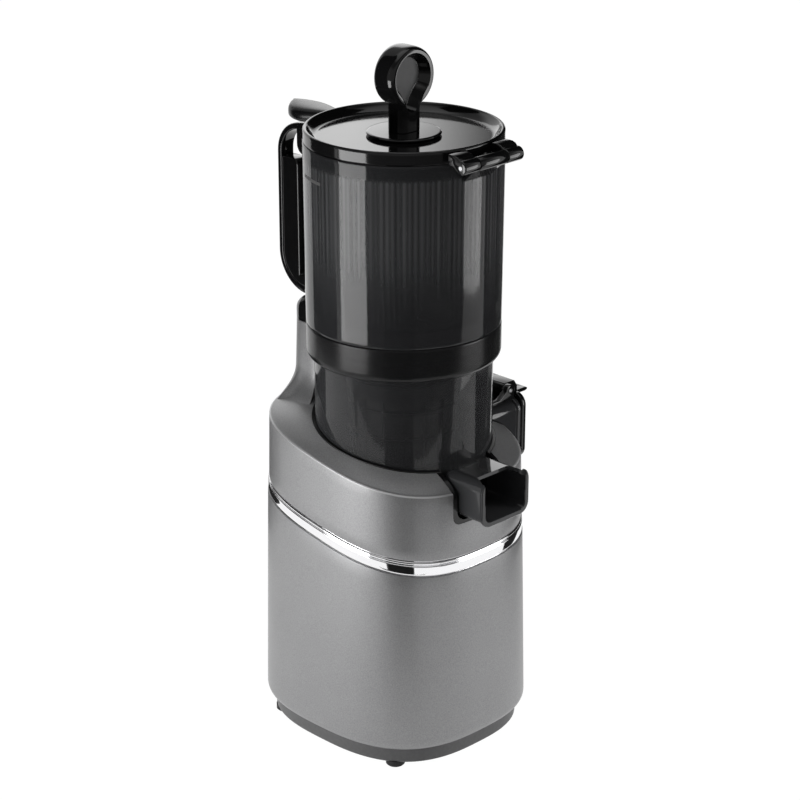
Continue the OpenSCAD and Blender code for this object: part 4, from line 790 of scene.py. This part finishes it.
hopper_rings = turned([
    (66.7, 319.6), (69.5, 319.6), (69.9, 319.8), (70.1, 320.3), (70.12, 321.6), (71.08, 448.8),
    (71.095, 450.4), (71.0, 450.75), (70.6, 450.9), (68.9, 450.9), (68.5, 450.5),
], FLUTES * FLUTE_STEPS)
flute_depth = 0.75
for level, depth in (
    (442.0, 0), (440.4, flute_depth), (400, flute_depth), (360, flute_depth), (337.4, flute_depth), (336, 0),
):
    ring = []
    for i in range(FLUTES * FLUTE_STEPS):
        wave = 0.5 + 0.5 * math.cos(math.tau * i / FLUTE_STEPS)
        radius = hopper_radius(level) - depth * wave
        turn = math.tau * i / (FLUTES * FLUTE_STEPS)
        ring.append((radius * math.cos(turn), radius * math.sin(turn), level))
    hopper_rings.append(ring)
hopper_rings += turned([
    (66.4, 333.6), (65.2, 332.2), (43.0, 323.2), (41.3, 322.6), (38.7, 322.6), (38.7, 319.6), (41.1, 319.6),
    (42.1, 321.0), (65.6, 330.4),
], FLUTES * FLUTE_STEPS)
hopper_smoke = Smoke("hopper_smoke", 0.80, 0.97, 2.2, 0.05)
x, y, z = hopper_smoke.node("SeparateXYZ", out=None, Vector=hopper_smoke.place())
turn = hopper_smoke.node("Math", settings={"operation": "ARCTAN2"}, i0=y, i1=x)
flute = hopper_smoke.node("Math", settings={"operation": "COSINE"}, i0=FLUTES * turn)
fluted = hopper_smoke.eased(z, 0.335, 0.405, 0.0, 1.0) * hopper_smoke.eased(z, 0.438, 0.442, 1.0, 0.0)
round_wall = hopper_smoke.node("CombineXYZ", X=turn)
drawn = hopper_smoke.node("TexNoise", Vector=round_wall, Scale=13.0, Detail=3.0)
# Painted reflections: light upright streaks in the fluted band follow the flutes and a noise drawn along the
# round wall. They stand in for light caught by the flutes: they lighten the tint, make the plastic more
# opaque there and raise a faint bump.
painted_flute_streaks = fluted * (0.3 + 0.3 * flute + 0.8 * hopper_smoke.eased(drawn, 0.35, 0.68, 0.0, 1.0))
hopper_smoke.wear(Alpha=hopper_smoke.cover + 0.5 * painted_flute_streaks * (1 - hopper_smoke.cover))
hopper_smoke.shades(0.7 * painted_flute_streaks, (0.036, 0.037, 0.039), (0.130, 0.131, 0.135))
hopper_smoke.relief(painted_flute_streaks, 0.02)
hopper_smoke.wear(Specular_IOR_Level=0.34)
hopper = skin("hopper_shell", hopper_rings, closed=True)
soften(hopper, 50)
fit(hopper, hopper_smoke, "hopper", "tinted_hopper", "hopper")

fill_line = []
for radius in (70.9, 71.1):
    for level in (429.0, 431.2):
        fill_line.append([
            (radius * math.cos(math.radians(a)), radius * math.sin(math.radians(a)), level)
            for a in range(150, 172)
        ])
print_grey = Finish("fill_print", Roughness=0.6)
print_grey.shades(print_grey.grain(1.5), (0.10, 0.10, 0.10), (0.13, 0.13, 0.13))
fill_bar = skin("fill_bar", [
    [fill_line[0][i], fill_line[1][i], fill_line[3][i], fill_line[2][i]] for i in range(len(fill_line[0]))
])
fit(fill_bar, print_grey, "hopper", "tinted_hopper")

LID_PIN = (-82, 451.7)
hinge_barrel = barrel("hopper_knuckle", LID_PIN, 5.0, 13.5, "X")
carve(hinge_barrel, flat_bar("web", [
    (-86.9, 450.6), (-85.2, 447.6), (-81.0, 446.4), (-70.6, 437.0), (-70.6, 450.5), (-77.2, 450.5),
    (-80.0, 451.5), (-82.0, 452.5),
], -13.3, 13.3, "X", 0.6), "UNION")
carve(hinge_barrel, round_tool("pin_way", 1.6, -30, 30, "X", LID_PIN, 32))
soften(hinge_barrel, 38)
fit(hinge_barrel, gloss, "hopper", "gloss_black")

# Handle.
# A thin gloss black strap runs from a rounded boss at the hopper's rim down and round to the
# neck's back corner. Inside it sits the thick grip, which two small screws hold.


def arc(y, z, radius, start, end, steps=12):
    """Points along an arc across Y and up, in degrees."""
    turns = [math.radians(start + (end - start) * i / steps) for i in range(steps + 1)]
    return [(y + radius * math.cos(t), z + radius * math.sin(t)) for t in turns]


TOP_BEND, FOOT_BEND = (101, 420.5), (95, 345.24)
strap_points = [(70.6, 444.5)] + arc(*TOP_BEND, 24, 90, 0) + arc(*FOOT_BEND, 30, 0, -87, 16)
strap_points += arc(*FOOT_BEND, 25.4, -87, 0, 16) + arc(*TOP_BEND, 19.4, 0, 80)
strap_points += arc(96.3, 429.0, 8.0, 0, -90, 8) + [(70.6, 421.0)]
strap = flat_bar("handle_strap_bar", strap_points, -6.3, 6.3, "X", 1.3, 4)
fit(strap, gloss, "hopper", "gloss_black", "handle_strap")
grip_points = [(102.8, 328.84)] + arc(107.8, 411.84, 5.0, 180, 90, 8) + [(120.25, 416.84)]
grip_points += arc(*FOOT_BEND, 25.25, 0, -78, 16) + [(99, 320.44), (70.4, 320.44), (70.4, 328.84)]
grip = flat_bar("handle_grip_bar", grip_points, -6.3, 6.3, "X", 1.4, 4)
fit(grip, gloss, "hopper", "gloss_black", "handle_grip")

for low, high in ((418.5, 444.4), (320.5, 335.4)):
    pad_rings = []
    for lift, trim in ((-0.1, 0.0), (1.5, 0.0), (2.0, 0.5)):
        ring = []
        for a, u in box_section(11 - trim, low + trim, high - trim, 3 - trim):
            radius = hopper_radius(u) + 2.6 + lift
            ring.append((radius * math.sin(a / radius), radius * math.cos(a / radius), u))
        pad_rings.append(ring)
    pad = skin("handle_pad", pad_rings)
    fit(pad, gloss, "hopper", "gloss_black")

# Lid.
# A polished black dish with a rolled rim. Two hinge lugs at the front grip the steel pin, and a
# low skirt inside the rim carries the gasket.

lid_profile = [
    (21.9, 451.8), (65.6, 451.8), (65.6, 445.2), (67.6, 445.2), (67.6, 447.1), (66.6, 447.1), (66.6, 449.3),
    (67.6, 449.3), (67.6, 451.2), (70.1, 451.2), (70.55, 451.35), (70.7, 451.8), (70.7, 452.6), (70.7, 458.2),
    (70.7, 459.0), (70.5, 459.75), (69.95, 460.3), (69.2, 460.5), (68.45, 460.3), (67.9, 459.75),
    (67.4, 458.9), (65.9, 457.2), (64.1, 455.6),
    (62.9, 454.8), (61.7, 454.4), (60.9, 454.4), (23.4, 454.4), (22.6, 454.4), (22.1, 454.2), (21.9, 453.8),
]
lid = skin("lid_dish", turned(lid_profile), closed=True)
soften(lid, 38)
fit(lid, gloss, "lid", "gloss_black", "lid")
for near, far in ((13.85, 29.0), (-29.0, -13.85)):
    lug = flat_bar("hinge_lug", arc(*LID_PIN, 5.0, 75, 270, 16) + [
        (-77.6, 449.2), (-75.2, 451.25), (-70.2, 451.25), (-70.2, 459.4), (-76.5, 459.2), (-79.2, 458.2),
    ], near, far, "X", 0.9)
    carve(lug, round_tool("pin_way", 1.6, -40, 40, "X", LID_PIN, 32))
    soften(lug, 50)
    fit(lug, gloss, "lid", "gloss_black")

# Thumb tab.
# A leaf-shaped black tongue behind the rim, curved up a little towards its tip, for lifting the lid
# with the thumb of the hand that holds the handle.

tab_root, tab_reach, tab_half_w, widest = 69.9, 42.6, 15.0, 0.6
tab_rings = []
for step in range(33):
    share = step / 32
    out = tab_root + share * tab_reach
    if share < widest:
        half = tab_half_w * (0.5 + 0.5 * math.sin(math.pi / 2 * share / widest) ** 1.6)
    else:
        half = tab_half_w * math.sqrt(max(0.015, 1 - ((share - widest) / 0.403) ** 2))
    thick = 6 + 6 * math.sin(math.pi / 2 * min(1.0, 1.6 * share))
    ring = []
    lift = 458.7 + 1.2 * share**2 - thick / 2
    for i in range(32):
        c, s = math.cos(math.tau * i / 32), math.sin(math.tau * i / 32)
        across = half * math.copysign(abs(c) ** 0.75, c)
        ring.append((across, out, lift + thick / 2 * math.copysign(abs(s) ** 0.7, s)))
    tab_rings.append(ring)
tab = skin("thumb_leaf", tab_rings)
soften(tab, 60)
tab_black = Finish("tab_black", Specular_IOR_Level=0.3)
tab_black.shades(tab_black.grain(10), (0.008, 0.008, 0.0085), (0.014, 0.014, 0.0145))
tab_black.wear(Roughness=0.24 + 0.08 * tab_black.grain(6))
fit(tab, tab_black, "lid", "gloss_black", "thumb_tab")

# Pusher.
# A round disc with a seam closes the feed hole. A squarish column rises from it into a round knob,
# dished on both faces down to a thin flat web, and a plunger hangs below.

disc = skin("pusher_plate", turned([
    (0, 454.7), (25.0, 454.7), (25.4, 455.4), (25.4, 455.7), (26.3, 455.8), (26.5, 456.2), (26.3, 456.9),
    (25.6, 457.35), (24.6, 457.4), (1, 457.4), (0, 457.4),
]))
soften(disc, 40)
fit(disc, gloss, "pusher", "gloss_black", "pusher_disc")
dress(satin, "pusher_plunger")

KNOB = 496.15


def about_knob(name, profile, steps=144):
    """A profile of radius and depth turned about the knob's own axis, along Y."""
    rings = []
    for radius, depth in profile:
        rings.append([
            (
                max(radius, 0.001) * math.cos(math.tau * i / steps), depth,
                KNOB + max(radius, 0.001) * math.sin(math.tau * i / steps),
            )
            for i in range(steps)
        ])
    return skin(name, rings)


half_profile = [(0, 9.3), (17.6, 9.3)]
for step in range(11, -1, -1):
    turn = math.radians(7 * step)
    half_profile.append((17.2 + 4.3 * math.cos(turn) ** 0.55, 9.7 * math.sin(turn) ** 0.55))
head_profile = [(r, -depth) for r, depth in half_profile] + [(r, depth) for r, depth in half_profile[-2::-1]]
knob = about_knob("knob_head", head_profile)
column_foot, column_h, dish_radius = 457.35, 59.8, 17
column_rings = []
for share, wide, deep in (
    (0, 9.7, 8.0), (0.008, 10, 8.3), (0.25, 10, 8.3), (0.31, 10.6, 8.5), (0.37, 12.0, 8.8), (0.43, 14.0, 9.0),
    (0.49, 16.2, 8.9), (0.55, 18.2, 8.4), (0.6, 19.2, 7.4),
):
    plan = outline(wide, deep, 0, 4.0, 96)
    column_rings.append([(x, y, column_foot + column_h * share) for x, y in plan])
carve(knob, skin("column", column_rings), "UNION")


def teardrop(grow, depth):
    """The dish's outline at a depth: a round that runs out into a narrow slot down the column."""
    radius = dish_radius + grow
    turns = [math.radians(a) for a in range(-28, 209, 4)]
    points = [(radius * math.cos(t), depth, KNOB + radius * math.sin(t)) for t in turns]
    side = [(13.2, 486.2), (10.2, 482.6), (7.6, 478.6), (5.6, 474.4), (4.0, 472.2), (1.6, 471.2)]
    points += [(-(x + grow), depth, z - 0.6 * grow) for x, z in side]
    return points + [(x + grow, depth, z - 0.6 * grow) for x, z in reversed(side)]


dish_wall = ((-4.6, 1.6), (-3.9, 1.8), (-2.6, 3.8), (-0.9, 7.4), (0.4, 9.9), (0.8, 11.2))
for side in (-1, 1):
    carve(knob, skin("dish", [teardrop(grow, side * depth) for grow, depth in dish_wall]))
soften(knob, 30)
fit(knob, gloss, "pusher", "gloss_black", "pusher_knob")

knob_web = skin("knob_web", [teardrop(-4.3, depth) for depth in (-1.75, 1.75)])
web_grey = Finish("satin_web", Roughness=0.5)
web_grey.shades(web_grey.grain(6), (0.070, 0.070, 0.072), (0.090, 0.090, 0.092))
fit(knob_web, web_grey, "pusher", "gloss_black")

# Studio.
# A white table whose front edge is near the machine and a white surround that is dim in front, black
# cards, white strips and a veil that show in the chrome, the smoke plastic and the lid, a low lamp at
# either side and one behind, and the photograph's camera.


def across_view(right, back, up):
    """A place in metres, to the right and to the back as the camera sees it."""
    half = math.sqrt(0.5)
    return Vector(((right + back) * half, (back - right) * half, up))


def sheet(name, corners):
    """A flat sheet through places in metres."""
    return piece_of(name, [tuple(1000 * v for v in corner) for corner in corners], [(0, 1, 2, 3)])


table = sheet("table", [
    across_view(-3, -0.33, 0), across_view(3, -0.33, 0), across_view(3, 4, 0), across_view(-3, 4, 0),
])
white = Finish("white_table", Roughness=0.9, Base_Color=(0.8, 0.8, 0.8, 1))
seen = white.node("LightPath", out="Is Camera Ray") + white.node("LightPath", out="Is Glossy Ray")
seen = seen + white.node("LightPath", out="Is Transmission Ray")
glow = white.node("Emission", Color=(1, 1, 1, 1), Strength=1.07)
blend = white.node("MixShader", i0=0.93 * seen, i1=Link(white.tree, white.shader.outputs[0]), i2=glow)
feed(white.tree, white.tree.nodes["Material Output"].inputs["Surface"], blend)
table.data.materials.append(white.material)


def hidden_sheet(name, start, end, low, high, finish):
    """An upright sheet on the table that only shows where something reflects it."""
    piece = sheet(name, [
        across_view(*start, low), across_view(*end, low), across_view(*end, high), across_view(*start, high),
    ])
    piece.data.materials.append(finish.material)
    piece.visible_camera = False


card_black = Finish("card_black", Roughness=0.9, Base_Color=(0.01, 0.01, 0.01, 1))
hidden_sheet("card", (-0.34, -0.08), (-0.34, 0.21), 0.19, 1.2, card_black)
hidden_sheet("card", (-0.45, 0.2), (-0.02, 0.44), 0, 0.14, card_black)
hidden_sheet("card", (-0.14, -0.36), (0.07, -0.36), 0, 0.26, card_black)
hidden_sheet("card", (0.34, 0.04), (0.34, 1.0), 0, 1.2, card_black)
hidden_sheet("front_strip", (-0.42, -0.26), (-0.15, -0.355), 0, 0.11, white)
hidden_sheet("front_strip", (0.075, -0.355), (0.3, -0.3), 0, 0.11, white)

veil_black = Finish("veil_black", Roughness=0.9, Base_Color=(0.01, 0.01, 0.01, 1))
x, y, _ = veil_black.node("SeparateXYZ", out=None, Vector=veil_black.place())
veil_black.wear(Alpha=veil_black.eased((x - y) * math.sqrt(0.5), -0.05, 0.11, 0.0, 1.0))
hidden_sheet("veil", (-0.08, 0.3), (0.34, 0.3), 0.5, 1.2, veil_black)

world = bpy.data.worlds.new("surround")
bpy.context.scene.world = world
world.use_nodes = True
sky = Shading(world.node_tree)
x, y, z = sky.node("SeparateXYZ", out=None, Vector=sky.node("TexCoord", out="Generated"))
at_back = (x + y) * math.sqrt(0.5)
level = sky.eased(at_back, -0.3, 0.4, 0.30, 1.0) * sky.eased(z, 0.40, 0.62, 1.0, 0.30)
level = level * sky.eased(z, -0.3, -0.1, 0.3, 1.0) + sky.eased(z, 0.76, 0.96, 0.0, 0.8)
level = level * (0.45 + 0.55 * sky.node("LightPath", out="Is Glossy Ray"))
camera_ray = sky.node("LightPath", out="Is Camera Ray")
background = sky.tree.nodes["Background"]
background.inputs["Color"].default_value = (1, 1, 1, 1)
feed(sky.tree, background.inputs["Strength"], camera_ray + (1 - camera_ray) * level)


def lamp(name, where, aim, size, power):
    """A flat lamp turned towards a place, in metres and watts."""
    data = bpy.data.lights.new(name, "AREA")
    data.shape = "RECTANGLE"
    data.size, data.size_y = size
    data.energy = power
    thing = bpy.data.objects.new(name, data)
    bpy.context.scene.collection.objects.link(thing)
    thing.location = where
    thing.rotation_euler = (Vector(aim) - Vector(where)).to_track_quat("-Z", "Y").to_euler()


lamp("left_lamp", across_view(-0.68, -0.42, 0.19), (0, 0, 0.19), (0.48, 0.34), 3.4)
lamp("right_lamp", across_view(0.9, -0.12, 0.3), (0, 0, 0.3), (0.4, 0.5), 2.2)
lamp("back_lamp", across_view(-0.1, 1.6, 1.05), (0, 0, 0.4), (1.3, 0.9), 4.5)

data = bpy.data.cameras.new("camera")
data.lens = 109.2
data.sensor_width = 36
data.clip_end = 50
camera = bpy.data.objects.new("camera", data)
bpy.context.scene.collection.objects.link(camera)
rise = math.radians(21.27)
aim = across_view(-0.00276, 0, 0.2559)
camera.location = aim + 1.761 * across_view(0, -math.cos(rise), math.sin(rise))
camera.rotation_euler = (aim - camera.location).to_track_quat("-Z", "Y").to_euler()
bpy.context.scene.camera = camera
bpy.context.scene.view_settings.view_transform = "Standard"
